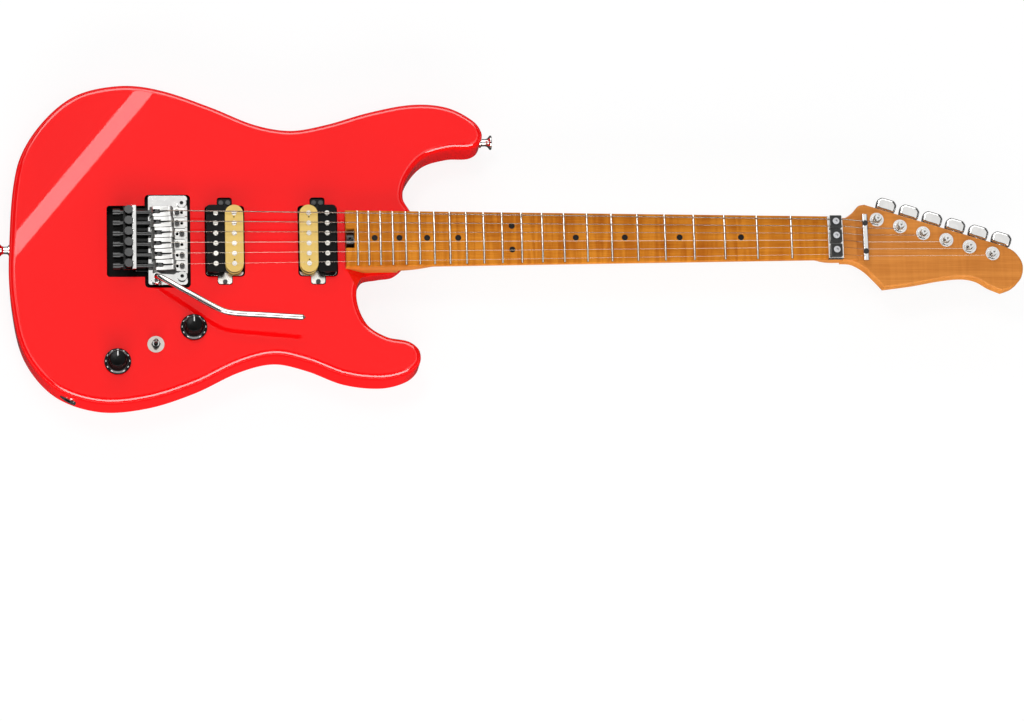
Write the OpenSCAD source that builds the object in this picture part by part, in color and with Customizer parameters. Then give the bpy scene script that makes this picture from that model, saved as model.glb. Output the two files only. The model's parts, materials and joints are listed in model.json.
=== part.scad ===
// Solid-body electric guitar with a double-locking vibrato bridge, lying on its back.
// X runs from the saddles (x = 0) to the headstock, Y to the bass side, Z out of the front.
// Millimetres. z = 0 is the flat back of the body.

/* [Body] */
// Thickness of the body
body_t = 45; // [42:0.5:50]
// Radius of the rounded front and back edges
edge_r = 9; // [6:0.5:9]
// Slope of the forearm contour, degrees
contour_slope = 8; // [4:0.5:10]
// Depth of the neck pocket below the front
pocket_depth = 18; // [15:0.5:20]
// Depth of the pickup cavities below the front
pickup_depth = 20; // [17:0.5:22]
// Depth of the spring cavity from the back
spring_depth = 18; // [16:0.5:20]
// Wood left above the control cavity
control_wall = 7; // [5:0.5:9]
// Thickness of the two back cover plates
cover_t = 2; // [1.5:0.5:3]

/* [Neck] */
// Scale length, saddle to nut
scale_len = 648; // [628:1:665]
// Number of frets
fret_count = 22; // [21:1:22]
// Fretboard width at the nut
nut_w = 43; // [41:0.5:46]
// Fretboard width at its body end
heel_w = 56.5; // [54:0.5:58]
// Length of fretboard past the last fret
board_tail = 11.8; // [11:0.1:14]
// Thickness of the fretboard at its middle
board_t = 6; // [5:0.5:8]
// Radius of the fretboard's playing surface
board_radius = 305; // [240:5:400]
// Thickness of the neck heel under the fretboard
heel_t = 22.8; // [20:0.2:26]
// Length of the square heel
heel_len = 52; // [48:1:56]
// Depth of the neck shaft under the fretboard at the nut
shaft_t = 15.5; // [13:0.5:18]
// Extra shaft depth at the heel end
shaft_gain = 2; // [0:0.5:4]
// Fret crown width
fret_w = 2.5; // [2:0.1:2.9]
// Fret crown height
fret_h = 1.2; // [0.9:0.1:1.4]
// Diameter of the position dots
dot_d = 6; // [4:0.5:7]
// Truss rod diameter
rod_d = 6; // [5:0.5:7]
// Truss rod wheel diameter
wheel_d = 15; // [13:0.5:16]

/* [Headstock] */
// Headstock thickness
head_t = 14.5; // [12:0.5:17]
// Step from the nut shelf down to the headstock face
head_drop = 3.5; // [2:0.5:6]
// Length of the nut along the strings
nut_len = 15; // [12:0.5:17]
// Height of the nut's string seat above the fretboard
nut_lift = 1.6; // [1.2:0.1:2]
// Width and height of the string retainer bar
retainer_d = 5.5; // [5:0.5:7]
// Distance from one tuner to the next
tuner_pitch = 24.1; // [23.5:0.1:25]
// String post diameter
post_d = 6; // [5:0.5:7]
// Height of the string posts above the headstock
post_h = 10; // [8:0.5:12]
// Width of a tuner button
button_w = 20; // [14:0.5:21]

/* [Strings and bridge] */
// Distance between the outer strings at the saddles
spread_bridge = 54; // [52:0.5:56]
// Distance between the outer strings at the nut
spread_nut = 36; // [34:0.5:37]
// Height of the saddle tops above the fretboard
saddle_lift = 4.4; // [3.5:0.1:6]
// Distance between the pivot studs
stud_spacing = 74; // [72:0.5:78]
// Stud thread diameter
stud_d = 8; // [7:0.5:9]
// Stud waist diameter where the base plate bears
waist_d = 5.6; // [5:0.2:6]
// Base plate thickness
plate_t = 3; // [2.5:0.5:4]
// Base plate width
plate_w = 90; // [88:0.5:94]
// Gap between the body's front and the base plate
plate_gap = 1; // [0.5:0.5:2]
// Saddle width
saddle_w = 10.2; // [9.4:0.1:10.3]
// Sustain block height below the plate
block_h = 36; // [32:1:38]
// Sustain block thickness
block_t = 15; // [12:0.5:17]
// Sustain block width
block_w = 48; // [44:1:54]
// Vibrato arm diameter
arm_d = 6; // [5:0.5:6.5]
// Fine-tuner head diameter
fine_d = 8.6; // [7:0.2:9.4]
// Spring coil outer diameter
spring_d = 8.4; // [7:0.2:9]
// Spring wire diameter
wire_d = 1.1; // [0.9:0.1:1.3]

/* [Pickups] */
// Length of a bobbin
bobbin_l = 68; // [64:0.5:70]
// Width of a bobbin
bobbin_w = 17.8; // [17:0.1:19]
// Height of a bobbin
bobbin_h = 9; // [8:0.5:11]
// Thickness of the magnet under the bobbins
magnet_t = 3.2; // [2.5:0.1:4]
// Thickness of the metal base plate
base_t = 1.2; // [1:0.1:1.6]
// Gap from the end of the fingerboard to the middle of the neck pickup
neck_pickup_gap = 27; // [22:0.5:40]
// Depth of the mounting legs' ledge below the front
leg_depth = 2.7; // [2:0.1:4]
// Pole piece diameter
pole_d = 4.8; // [4:0.1:5.2]

/* [Controls] */
// Knob skirt diameter
knob_d = 26; // [22:0.5:28]
// Knob height
knob_h = 15; // [12:0.5:18]
// Knob cap diameter
cap_d = 17; // [16:0.5:19]
// Potentiometer body diameter
pot_d = 24; // [18:0.5:25]
// Potentiometer bushing diameter
bushing_d = 7.8; // [7:0.1:8.2]
// Potentiometer shaft diameter
shaft_d = 6; // [5:0.1:6.2]
// Toggle switch bushing diameter
toggle_d = 6.2; // [6:0.1:6.6]
// Jack bore diameter, for a quarter-inch plug
jack_bore = 6.5; // [6.4:0.1:6.8]
// Jack barrel diameter
jack_d = 11.8; // [10:0.2:14]
// Strap button head diameter
strap_d = 14.5; // [12:0.5:17]

/* [Hidden] */
$fn = 48;
string_count = 6;
// Clearance of pieces that sit on or in each other
seat = 0.05;
// Clearance of round pieces in drilled wood
drill = 0.1;
// Clearance of turning shafts, on the radius
run = 0.05;
// Clearance of covers in their recesses
cover_fit = 0.2;
// Reach of a cut beyond the surface it opens
over = 1;

// Body outline, from the tail round the treble side, the cutaways and the bass side
body_points = [
    [-158, -12], [-156, -60], [-144, -110], [-115, -146], [-72, -162], [-25, -159], [22, -144],
    [66, -123], [100, -115], [132, -122], [168, -136], [204, -140], [229, -134], [241, -123],
    [241, -110], [231, -101], [209, -96], [190, -83], [180.5, -57], [186, -34.5], [203, -30], [219, -27],
    [231, -14], [236, 27], [228, 45], [233, 66], [250, 86], [275, 94], [296, 95], [305, 100], [308, 111],
    [300, 124], [274, 138], [240, 141], [197, 133], [153, 120], [118, 114], [83, 120], [40, 138],
    [-8, 155], [-50, 161], [-95, 151], [-131, 118], [-151, 76]];
body_steps = 4;
round_steps = 3;
// The contour's crease runs between these two outline points
crease_from = 39.25;
crease_to = 43.75;

// Headstock outline in four stretches that meet at its corners
head_upper = [[14, 0.2], [20, 1.2], [27, 6], [34, 13.4], [40, 14.8]];
head_tip = [[180, -6.8], [190, -13], [197, -25], [195, -39], [186, -48.5], [175, -53]];
head_lower = [[175, -53], [163, -48], [150, -40.5], [136, -38], [114, -40], [86, -45], [56, -49]];
head_neck = [[56, -49], [48, -40], [38, -30], [26, -23], [14, -21.7]];

// Heights
pocket_floor = body_t - pocket_depth;
board_z = pocket_floor + heel_t;
board_top = board_z + board_t;
head_top = board_z - head_drop;
head_back = head_top - head_t;
nut_top = board_top + nut_lift;
saddle_top = board_top + saddle_lift;
plate_z = body_t + plate_gap;
plate_top = plate_z + plate_t;
leg_z = body_t - leg_depth;
magnet_z = leg_z + base_t;
bobbin_z = magnet_z + magnet_t;
bobbin_top = bobbin_z + bobbin_h;
control_top = body_t - control_wall;

// Neck lengths
function fret_x(n) = scale_len * pow(2, -n / 12);
board_end = fret_x(fret_count) - board_tail;
heel_end = board_end + heel_len;
heel_blend = 36;
nut_back = scale_len + nut_len;
shelf_end = nut_back + 15;
function board_half(x) = (nut_w + (heel_w - nut_w) * (scale_len - x) / (scale_len - board_end)) / 2;
function crown(y) = board_radius - sqrt(board_radius * board_radius - y * y);
rod_z = board_z - rod_d / 2 - 0.2;
wheel_len = 7;
wheel_slot = [wheel_len + 1.6, wheel_d + 5];
tang = [1.6, 0.6];
dot_depth = 1.6;
dot_frets = [3, 5, 7, 9, 15, 17, 19, 21];
dot_pair = 12;
neck_screw_d = 4.4;
neck_screw_x = [board_end + 17, heel_end - 10];
neck_screw_y = 14;
ferrule_d = 13;
ferrule_t = 3;

// Strings
gauges = [1.07, 0.81, 0.61, 0.43, 0.33, 0.25];
thickest = gauges[0];
function string_at(i, spread) = spread * (0.5 - i / (string_count - 1));
function string_seat(y) = saddle_top - crown(y);

// Bridge
pivot_x = 10;
notch_r = waist_d / 2 + 0.6;
hinge_x = pivot_x - notch_r;
plate_front = 15.5;
plate_back = -23;
riser_x = -38;
riser_t = 3.5;
shelf_back = -47;
shelf_w = 64;
lock_d = 4.6;
lock_z = plate_top + 3.6;
lock_tip = -57;
lock_head_d = 7.4;
lock_head_len = 7;
fine_x = -41.7;
fine_shank = 4;
shelf_z = lock_z + lock_d / 2 + 1.3;
shelf_t = 3;
fine_h = 5.4;
// Each saddle's place for its string's intonation, measured from the scale line
intonation = [-1.4, -0.6, 0.3, -0.4, 0.4, 1.4];
saddle_back = -20;
saddle_front = 13;
saddle_foot = 3.2;
saddle_slot = [-16.8, -9.8];
slot_w = 4.4;
lock_gap = 2.2;
groove_w = 1.6;
groove_z = 3.4;
// Two rows of threaded holes for the saddle bolts, and the row that each saddle uses
bolt_rows = [5.4, 10];
bolt_row = [0, 0, 1, 0, 1, 1];
bolt_d = 3;
bolt_head_d = 5;
block_front = 1;
block_screw_d = 4;
block_screw_y = block_w / 2 - 4;
recess_depth = 6;
tail_recess = 13;
recess_z = body_t - recess_depth;
insert_d = stud_d + 3;
insert_len = 20;
arm_at = [-14.5, -40];
collar_d = arm_d + 2.6;
arm_tip = [[14, -58, 72], [46, -78, 79.5], [57, -81.5, 80.5], [90, -84.3, 82.5], [128, -87.5, 85]];

// Springs
spring_y = [-17, 0, 17];
spring_z = 13;
spring_turns = 12;
claw_x = 92;
claw_t = 2;
claw_w = 50;
claw_screw_y = 8.5;
claw_screw_d = 4;
spring_cavity = [-34, -(block_w / 2 + 6), 104, block_w / 2 + 6];
cover_lip = 9;

// Pickups
pickup_x = [52, board_end - neck_pickup_gap];
bobbin_gap = 0.3;
pickup_w = 2 * bobbin_w + bobbin_gap;
leg_w = 13.6;
leg_reach = 43;
pickup_screw_y = (leg_reach + bobbin_l / 2) / 2 + 0.5;
pickup_screws = [[-leg_w / 4, pickup_screw_y], [leg_w / 4, pickup_screw_y], [0, 2 - leg_reach]];
bobbin_corner = 3.4;
flange_t = 1.4;
core_inset = 4.4;
pole_spread = 51;
magnet_half = 31;

// Controls
volume_at = [21, -87];
tone_at = [-53, -121];
toggle_at = [-16, -104];
toggle_pivot = body_t + 2.5;
knob_gap = 0.8;
skirt_h = 3;
bushing_h = 5;
jack_at = [-101, -153.5];
jack_turn = 240;
jack_z = body_t / 2;
jack_wall = 27;
jack_len = 35;
jack_depth = 31;
jack_flange_d = 17;
control_r = 18;
jack_room = 15;
jack_dir = [cos(jack_turn), sin(jack_turn)];
jack_seat = jack_at - jack_dir;
jack_in = jack_seat - jack_dir * (jack_wall + jack_room);
screw_d = 2.6;
screw_head = 5.4;

// Straps: seat position and direction, at half the body's thickness
strap_seats = [[[-157.4, -3], 180], [[307, 107], 0]];
strap_len = 12;

// Tuner frame: local X along the headstock's edge, local Y out towards the button
tuner_turn = -16.9;
tuner_first = [51.6, 20.2];
worm_gap = 7.7;
worm_z = head_back - 6;
worm_r = 2.2;
gear_r = 5.3;
button_at = 17;
button_l = 13;
button_t = 8.5;
housing = [-7, -7, 12.5, 7.5];
housing_h = 12;
housing_wall = 1.2;
bushing_r = 4.8;

// Smooth curve through points: a cubic on each stretch, with slopes weighted by chord length
function hermite(a, b, c, d, t) =
    let (ab = norm(b - a), bc = norm(c - b), cd = norm(d - c),
         mb = (c - a) * bc / (ab + bc), mc = (d - b) * bc / (bc + cd))
    b * (2 * t * t * t - 3 * t * t + 1) + mb * (t * t * t - 2 * t * t + t)
    + c * (3 * t * t - 2 * t * t * t) + mc * (t * t * t - t * t);
function closed_curve(p, n) =
    let (m = len(p))
    [for (i = [0 : m - 1], k = [0 : n - 1])
        hermite(p[(i + m - 1) % m], p[i], p[(i + 1) % m], p[(i + 2) % m], k / n)];
function open_curve(p, n) =
    let (m = len(p) - 1)
    concat([for (i = [0 : m - 1], k = [0 : n - 1])
        hermite(i == 0 ? 2 * p[0] - p[1] : p[i - 1], p[i], p[i + 1],
                i == m - 1 ? 2 * p[m] - p[m - 1] : p[i + 2], k / n)], [p[m]]);

function unit(v) = v / norm(v);
function inset(loop, e) =
    let (n = len(loop))
    [for (i = [0 : n - 1])
        let (t = loop[(i + 1) % n] - loop[(i + n - 1) % n]) loop[i] + [-t.y, t.x] * e / norm(t)];
function round_rect(x0, y0, x1, y1, r, n = 5) =
    [for (c = [[x1 - r, y1 - r, 0], [x0 + r, y1 - r, 90], [x0 + r, y0 + r, 180], [x1 - r, y0 + r, 270]],
          k = [0 : n]) [c.x + r * cos(c.z + 90 * k / n), c.y + r * sin(c.z + 90 * k / n)]];
function slot_points(p, q, r, n = 12) =
    let (a = atan2(q.y - p.y, q.x - p.x))
    concat([for (k = [0 : n]) q + r * [cos(a - 90 + 180 * k / n), sin(a - 90 + 180 * k / n)]],
           [for (k = [0 : n]) p + r * [cos(a + 90 + 180 * k / n), sin(a + 90 + 180 * k / n)]]);

// Triangles that fill the flat outline of points p numbered in order, one convex corner at a time
function turn(a, b, c) = (b.x - a.x) * (c.y - a.y) - (b.y - a.y) * (c.x - a.x);
function covers(a, b, c, p) = turn(a, b, p) >= 0 && turn(b, c, p) >= 0 && turn(c, a, p) >= 0;
function is_ear(p, a, b, c, order) =
    turn(p[a], p[b], p[c]) > 0
    && len([for (j = order) if (j != a && j != b && j != c && covers(p[a], p[b], p[c], p[j])) j]) == 0;
function fill(p, order, k = 0, done = []) =
    let (n = len(order), a = order[k % n], b = order[(k + 1) % n], c = order[(k + 2) % n])
    n == 3 ? concat(done, [order])
    : is_ear(p, a, b, c, order) ? fill(p, [for (j = order) if (j != b) j], k + 1, concat(done, [[a, b, c]]))
    : fill(p, order, k + 1, done);

// Closed surface over a stack of equal rings. The first and last are filled, each as one convex face
// or as the triangles given.
module skin(rings, base, top) {
    n = len(rings[0]);
    last = len(rings) - 1;
    whole = [[for (j = [0 : n - 1]) j]];
    polyhedron(
        points = [for (r = rings) each r],
        faces = concat(is_undef(base) ? whole : base,
            [for (c = is_undef(top) ? whole : top) [for (j = [len(c) - 1 : -1 : 0]) last * n + c[j]]],
            [for (i = [0 : last - 1], j = [0 : n - 1])
                let (k = (j + 1) % n)
                each [[i * n + j, (i + 1) * n + j, (i + 1) * n + k],
                      [i * n + j, (i + 1) * n + k, i * n + k]]]),
        convexity = 10);
}

// Round tube of radius r along a path; ref is any direction the path never takes
module tube(path, r, sides, ref = [0, 0, 1]) {
    m = len(path) - 1;
    skin([for (i = [0 : m])
        let (t = unit(path[min(i + 1, m)] - path[max(i - 1, 0)]), s = unit(cross(ref, t)), u = cross(t, s))
        [for (j = [0 : sides - 1])
            path[i] + r * (cos(360 * j / sides) * s + sin(360 * j / sides) * u)]]);
}

module rod_x(x0, x1, y, z, d) translate([x0, y, z]) rotate([0, 90, 0]) cylinder(d = d, h = x1 - x0);
module rod_z(x, y, z0, z1, d) translate([x, y, z0]) cylinder(d = d, h = z1 - z0);
module rod_between(p, q, d) {
    v = q - p;
    translate(p) rotate([0, acos(v.z / norm(v)), atan2(v.y, v.x)]) cylinder(d = d, h = norm(v));
}
module box(x0, y0, z0, x1, y1, z1) translate([x0, y0, z0]) cube([x1 - x0, y1 - y0, z1 - z0]);
module plate(points, z0, z1) translate([0, 0, z0]) linear_extrude(z1 - z0) polygon(points);
module at_tuner(i)
    translate([scale_len + tuner_first.x, tuner_first.y, 0]) rotate([0, 0, tuner_turn])
        translate([tuner_pitch * i, 0, 0]) children();
module at_jack() translate([jack_seat.x, jack_seat.y, jack_z]) rotate([0, 0, jack_turn]) rotate([0, 90, 0])
    children();
module at_strap(s) translate([s[0].x, s[0].y, body_t / 2]) rotate([0, 0, s[1]]) rotate([0, 90, 0]) children();
// Countersunk wood screw, head down at z = 0, point up
module flat_screw(len) {
    cylinder(d1 = screw_head, d2 = screw_d, h = (screw_head - screw_d) / 2);
    cylinder(d = screw_d, h = len);
}

// Places that several pieces share
dot_places = concat(
    [for (n = dot_frets) [(fret_x(n) + fret_x(n - 1)) / 2, 0]],
    [for (y = [-12, 12]) [(fret_x(dot_pair) + fret_x(dot_pair - 1)) / 2, y]]);
function cover_edge(c, lip) = [c[0] - lip, c[1] - lip, c[2] + lip, c[3] + lip];
spring_edge = cover_edge(spring_cavity, cover_lip);
spring_cover_x = [spring_edge[0] + 4.5, (spring_edge[0] + spring_edge[2]) / 2, spring_edge[2] - 4.5];
spring_cover_screws = [for (x = spring_cover_x,
                            y = [spring_edge[1] + 4.5, spring_edge[3] - 4.5]) [x, y]];
control_across = unit([volume_at.y - tone_at.y, tone_at.x - volume_at.x]);
control_along = unit(volume_at - tone_at);
control_cover_screws = [volume_at + control_along * (control_r + cover_lip / 2),
                        toggle_at + control_across * (control_r + cover_lip / 2),
                        toggle_at - control_across * (control_r + cover_lip / 2),
                        jack_in - control_along * (jack_room + cover_lip / 2)];
retainer_x = shelf_end + 8;
retainer_screw_y = spread_nut * 0.4;
retainer_half = spread_nut / 2 + 5.5;
retainer_z = head_top + 4.2 + retainer_d / 2;

// Body

module body_slab() {
    outline = closed_curve(body_points, body_steps);
    n = len(outline);
    inner = inset(outline, edge_r);
    first = crease_from * body_steps;
    last = crease_to * body_steps;
    a = inner[first];
    b = inner[last];
    side = unit([b.y - a.y, a.x - b.x]);
    function drop(p) = max(0, side * (p - a)) * tan(contour_slope);
    function ring(e, z, front) = [for (p = inset(outline, e)) [p.x, p.y, z - (front ? drop(p) : 0)]];
    steps = [for (k = [0 : round_steps]) 90 * k / round_steps];
    skin(concat(
            [for (t = steps) ring(edge_r * (1 - sin(t)), edge_r * (1 - cos(t)), false)],
            [for (t = steps) ring(edge_r * (1 - cos(t)), body_t - edge_r * (1 - sin(t)), true)]),
        fill(inner, [for (j = [0 : n - 1]) j]),
        concat(fill(inner, concat([for (j = [last : n - 1]) j], [for (j = [0 : first]) j])),
               fill(inner, [for (j = [first : last]) j])));
}

module heel_plan(x1, gap) {
    polygon([[board_end - gap, -board_half(board_end) - gap], [x1, -board_half(x1) - gap],
             [x1, board_half(x1) + gap], [board_end - gap, board_half(board_end) + gap]]);
}

module neck_pocket() {
    translate([0, 0, pocket_floor]) linear_extrude(pocket_depth + over) heel_plan(heel_end + 24, drill);
    // The treble side slopes down beside the heel, from the end of the fretboard to a ledge
    intersection() {
        box(board_end, -62, pocket_floor, heel_end + 24, -20, body_t + over);
        translate([board_end + 1, -board_half(board_end), body_t]) rotate([0, scoop_tilt, scoop_turn])
            translate([-80, -80, 0]) cube(160);
    }
}
scoop_tilt = 47.7;
scoop_turn = 24.5;

module pickup_route(x) {
    w = pickup_w / 2 + 1.5;
    l = bobbin_l / 2 + 2;
    plate(round_rect(x - w, -l, x + w, l, 4), body_t - pickup_depth, body_t + over);
    plate(round_rect(x - leg_w / 2 - 0.6, -leg_reach - 1.2, x + leg_w / 2 + 0.6, leg_reach + 1.2, 2.8),
          leg_z, body_t + over);
}

module bridge_recess() {
    front = [plate_back - 3, plate_front + 3];
    half = plate_w / 2 + 2;
    tail_half = shelf_w / 2 + 4;
    plate(round_rect(front[0], -half, front[1], half, 2), recess_z, body_t + over);
    plate(round_rect(lock_tip - 6, -tail_half, front[0] + 3, tail_half, 2),
          body_t - tail_recess, body_t + over);
    box(block_front - block_t - 11, -block_w / 2 - 3, spring_depth - over,
        block_front + 7, block_w / 2 + 3, body_t);
}

module cover_recess(points) plate(points, -over, cover_t + seat);

module spring_room() {
    c = spring_cavity;
    plate(round_rect(c[0], c[1], c[2], c[3], 4), -over, spring_depth);
    e = cover_edge(c, cover_lip + cover_fit);
    cover_recess(round_rect(e[0], e[1], e[2], e[3], 8));
}

module control_plan(grow) {
    polygon(slot_points(tone_at, volume_at, control_r + grow));
    polygon(slot_points(jack_in, tone_at, jack_room + grow));
}

module control_room() {
    translate([0, 0, -over]) linear_extrude(control_top + over) control_plan(0);
    translate([0, 0, -over]) linear_extrude(cover_t + seat + over) control_plan(cover_lip + cover_fit);
}

module body_holes() {
    for (x = neck_screw_x, y = [-neck_screw_y, neck_screw_y]) {
        rod_z(x, y, -over, pocket_floor + over, neck_screw_d + 2 * drill);
        rod_z(x, y, -over, ferrule_t + seat, ferrule_d + 2 * drill);
    }
    for (y = [-stud_spacing / 2, stud_spacing / 2])
        rod_z(pivot_x, y, recess_z - insert_len - seat, recess_z + over, insert_d + 2 * drill);
    for (p = [volume_at, tone_at]) rod_z(p.x, p.y, control_top - over, body_t + over, bushing_d + 2 * drill);
    rod_z(toggle_at.x, toggle_at.y, control_top - over, body_t + over, toggle_d + 2 * drill);
    for (p = concat(spring_cover_screws, control_cover_screws))
        rod_z(p.x, p.y, cover_t, 12.2, screw_d + 2 * drill);
    for (x = pickup_x, p = pickup_screws)
        rod_z(x + p.x, p.y, leg_z - 14, leg_z + over, screw_d + 2 * drill);
    for (y = [-claw_screw_y, claw_screw_y])
        rod_x(spring_cavity[2] - over, spring_cavity[2] + 18, y, spring_z, claw_screw_d + 2 * drill);
    at_jack() {
        cylinder(d = jack_flange_d + 2 * drill + 0.6, h = 12);
        translate([0, 0, -jack_wall - 8]) cylinder(d = jack_d + 2 * drill, h = jack_wall + 9);
    }
    for (s = strap_seats) at_strap(s) {
        cylinder(d = 11, h = 8);
        translate([0, 0, -24]) cylinder(d = screw_d + 0.6 + 2 * drill, h = 25);
    }
    // Wire channels: neck to bridge pickup, bridge pickup to controls, springs to controls
    rod_x(pickup_x[0], pickup_x[1], -20, channel_z, channel_d);
    rod_between([52, -22, channel_z], [24, -79, channel_z], channel_d);
    rod_between([30, -76, ground_z], [38, -26, ground_z], 5);
}
channel_d = 7;
channel_z = 31;
ground_z = 15;

module body() color([0.9, 0.05, 0.05]) difference() {
    body_slab();
    neck_pocket();
    for (x = pickup_x) pickup_route(x);
    bridge_recess();
    spring_room();
    control_room();
    body_holes();
}

module spring_cover() color([0.06, 0.06, 0.06]) difference() {
    e = spring_edge;
    plate(round_rect(e[0], e[1], e[2], e[3], 8 - cover_fit), 0, cover_t);
    for (p = spring_cover_screws) translate([p.x, p.y, 0]) cover_sink();
}

module cover_sink() {
    translate([0, 0, -over]) cylinder(d = screw_d + 2 * drill, h = cover_t + 2 * over);
    translate([0, 0, -seat])
        cylinder(d1 = screw_head + 2 * drill + 2 * seat, d2 = screw_d + 2 * drill,
                 h = (screw_head - screw_d) / 2 + seat);
}

module control_cover() color([0.06, 0.06, 0.06]) difference() {
    linear_extrude(cover_t) control_plan(cover_lip);
    for (p = control_cover_screws) translate([p.x, p.y, 0]) cover_sink();
}

// Neck

// The shaft starts this much inside the square heel
heel_step = 0.3;
function shaft_depth(x) = shaft_t + shaft_gain * (scale_len - x) / (scale_len - heel_end);
// Ease from 0 to 1 over the blend of heel into shaft, and of shaft into headstock
function ease(t) = let (c = max(0, min(1, t))) c * c * (3 - 2 * c);
function shaft_ring(x) =
    let (heel = 1 - ease((x - heel_end) / heel_blend), head = ease((x - scale_len + 14) / 22),
         depth = shaft_depth(x) * (1 - heel) * (1 - head) + (heel_t - heel_step) * heel
                 + (board_z - head_back - 0.6) * head,
         power = 2 / (2.3 + 9 * max(heel, head)), w = board_half(min(x, nut_back)) - heel_step * heel, m = 16)
    [for (k = [0 : m])
        let (c = cos(180 * k / m), s = sin(180 * k / m))
        [x, -w * sign(c) * pow(abs(c), power), board_z - depth * pow(max(s, 0), power)]];

module head_plan() {
    corner = [scale_len, nut_w / 2];
    upper = [for (p = open_curve(head_upper, 4)) corner + p];
    rest = [for (c = [head_tip, head_lower, head_neck]) each open_curve(c, 4)];
    polygon(concat(upper, [for (p = rest) [scale_len + p.x, p.y]]));
}

module neck() color([0.85, 0.6, 0.32]) difference() {
    union() {
        skin([for (x = concat([heel_end - 4], [for (k = [0 : 6]) heel_end + heel_blend * k / 6],
                              [for (k = [1 : 5]) heel_end + heel_blend + (scale_len - 60 - heel_end) * k / 5],
                              [for (k = [0 : 5]) scale_len - 14 + 22 * k / 5], [shelf_end])) shaft_ring(x)]);
        translate([0, 0, pocket_floor + seat]) linear_extrude(heel_t - 3 * seat) heel_plan(heel_end, 0);
        translate([0, 0, head_back]) linear_extrude(head_t) head_plan();
    }
    box(board_end + wheel_slot.x - over, -rod_d / 2 - drill, rod_z - rod_d / 2 - drill,
        scale_len - 8, rod_d / 2 + drill, board_z + over);
    box(board_end - over, -wheel_slot.y / 2, rod_z - wheel_d / 2 - 1,
        board_end + wheel_slot.x, wheel_slot.y / 2, board_z + over);
    for (x = neck_screw_x, y = [-neck_screw_y, neck_screw_y])
        rod_z(x, y, pocket_floor - over, pocket_floor + 15, neck_screw_d + 2 * drill);
    for (i = [0 : string_count - 1]) at_tuner(i) {
        rod_z(0, 0, head_back - over, head_top + over, 2 * bushing_r + 2 * drill);
        rod_z(3, -10.2, head_back - over, head_back + 9, screw_d + 2 * drill);
    }
    for (y = [-retainer_screw_y, retainer_screw_y])
        rod_z(retainer_x, y, head_top - 10, head_top + over, screw_d + 2 * drill);
}

module board_plan(e) polygon([[board_end + e, -board_half(board_end) + e], [scale_len - e, -nut_w / 2 + e],
                              [scale_len - e, nut_w / 2 - e], [board_end + e, board_half(board_end) - e]]);
// Shape revolved about the fretboard's own axis, at fret n; profile x is the height above the board
module at_fret(n) translate([fret_x(n), 0, board_top - board_radius]) rotate([0, 90, 0])
    rotate([0, 0, 180 - 9]) rotate_extrude(angle = 18, $fn = 720) translate([board_radius, 0]) children();
// Round bar that has the playing surface, raised by lift, as its top
module crown_bar(x0, x1, lift)
    rod_x(x0, x1, 0, board_top - board_radius, 2 * (board_radius + lift), $fn = 720);

module fretboard() color([0.75, 0.47, 0.2]) difference() {
    intersection() {
        translate([0, 0, board_z + seat]) linear_extrude(board_t) board_plan(0);
        crown_bar(board_end - over, scale_len + over, 0);
    }
    for (n = [1 : fret_count]) at_fret(n)
        translate([-tang[0] - seat, -tang[1] / 2 - seat]) square([tang[0] + seat + over, tang[1] + 2 * seat]);
    for (p = dot_places)
        rod_z(p.x, p.y, board_top - crown(p.y) - dot_depth - seat, board_top + over, dot_d + 2 * seat);
    box(board_end - over, -wheel_slot.y / 2, board_z - over,
        board_end + wheel_slot.x, wheel_slot.y / 2, board_top + over);
}

module frets() color([0.8, 0.8, 0.8]) intersection() {
    for (n = [1 : fret_count]) at_fret(n) {
        intersection() {
            translate([fret_h - fret_w / 2, 0]) circle(d = fret_w);
            translate([seat, -fret_w]) square([fret_h + over, 2 * fret_w]);
        }
        translate([-tang[0], -tang[1] / 2]) square([tang[0] + fret_h / 2, tang[1]]);
    }
    translate([0, 0, board_z]) linear_extrude(board_t + fret_h + over) board_plan(0.4);
}

module fret_dots() color([0.08, 0.06, 0.05]) intersection() {
    for (p = dot_places) rod_z(p.x, p.y, board_top - crown(p.y) - dot_depth, board_top + over, dot_d);
    crown_bar(board_end, scale_len, 0);
}

module truss_rod() color([0.5, 0.5, 0.5]) rod_x(board_end + 1.5, scale_len - 8 - drill, 0, rod_z, rod_d);

module truss_rod_wheel() color([0.2, 0.2, 0.2]) difference() {
    rod_x(board_end + 0.8, board_end + 0.8 + wheel_len, 0, rod_z, wheel_d);
    rod_x(board_end - over, board_end + wheel_len + 2, 0, rod_z, rod_d + 2 * run);
    for (k = [0 : 5]) translate([board_end + 0.8 + wheel_len / 2, 0, rod_z]) rotate([60 * k, 0, 0])
        translate([0, 0, rod_d / 2 - 0.4]) cylinder(d = 2.6, h = wheel_d);
}

module neck_screws() color([0.75, 0.75, 0.75])
    for (x = neck_screw_x, y = [-neck_screw_y, neck_screw_y]) {
        difference() {
            rod_z(x, y, 0, ferrule_t, ferrule_d);
            rod_z(x, y, -over, ferrule_t + over, neck_screw_d + 2 * drill);
            rod_z(x, y, -over, 2 + seat, 9 + 2 * drill);
        }
        difference() {
            union() {
                rod_z(x, y, 0.2, 2, 9);
                rod_z(x, y, 0.2, pocket_floor + 14, neck_screw_d);
            }
            for (a = [0, 90]) translate([x, y, 0]) rotate([0, 0, a]) cube([5, 1, 2], center = true);
        }
    }

// Nut and retainer

clamp_size = [11.5, 12.6, 4.2];
clamp_y = [for (k = [0, 1, 2]) spread_nut * 0.4 * (k - 1)];
clamp_x = scale_len + nut_len / 2;
function clamp_z(y) = seat + max([for (i = [0 : string_count - 1]) let (s = string_at(i, spread_nut))
                                  if (abs(s - y) < clamp_size.y / 2) nut_top - crown(s) + gauges[i] + seat]);
clamp_screw_d = 4;

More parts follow.
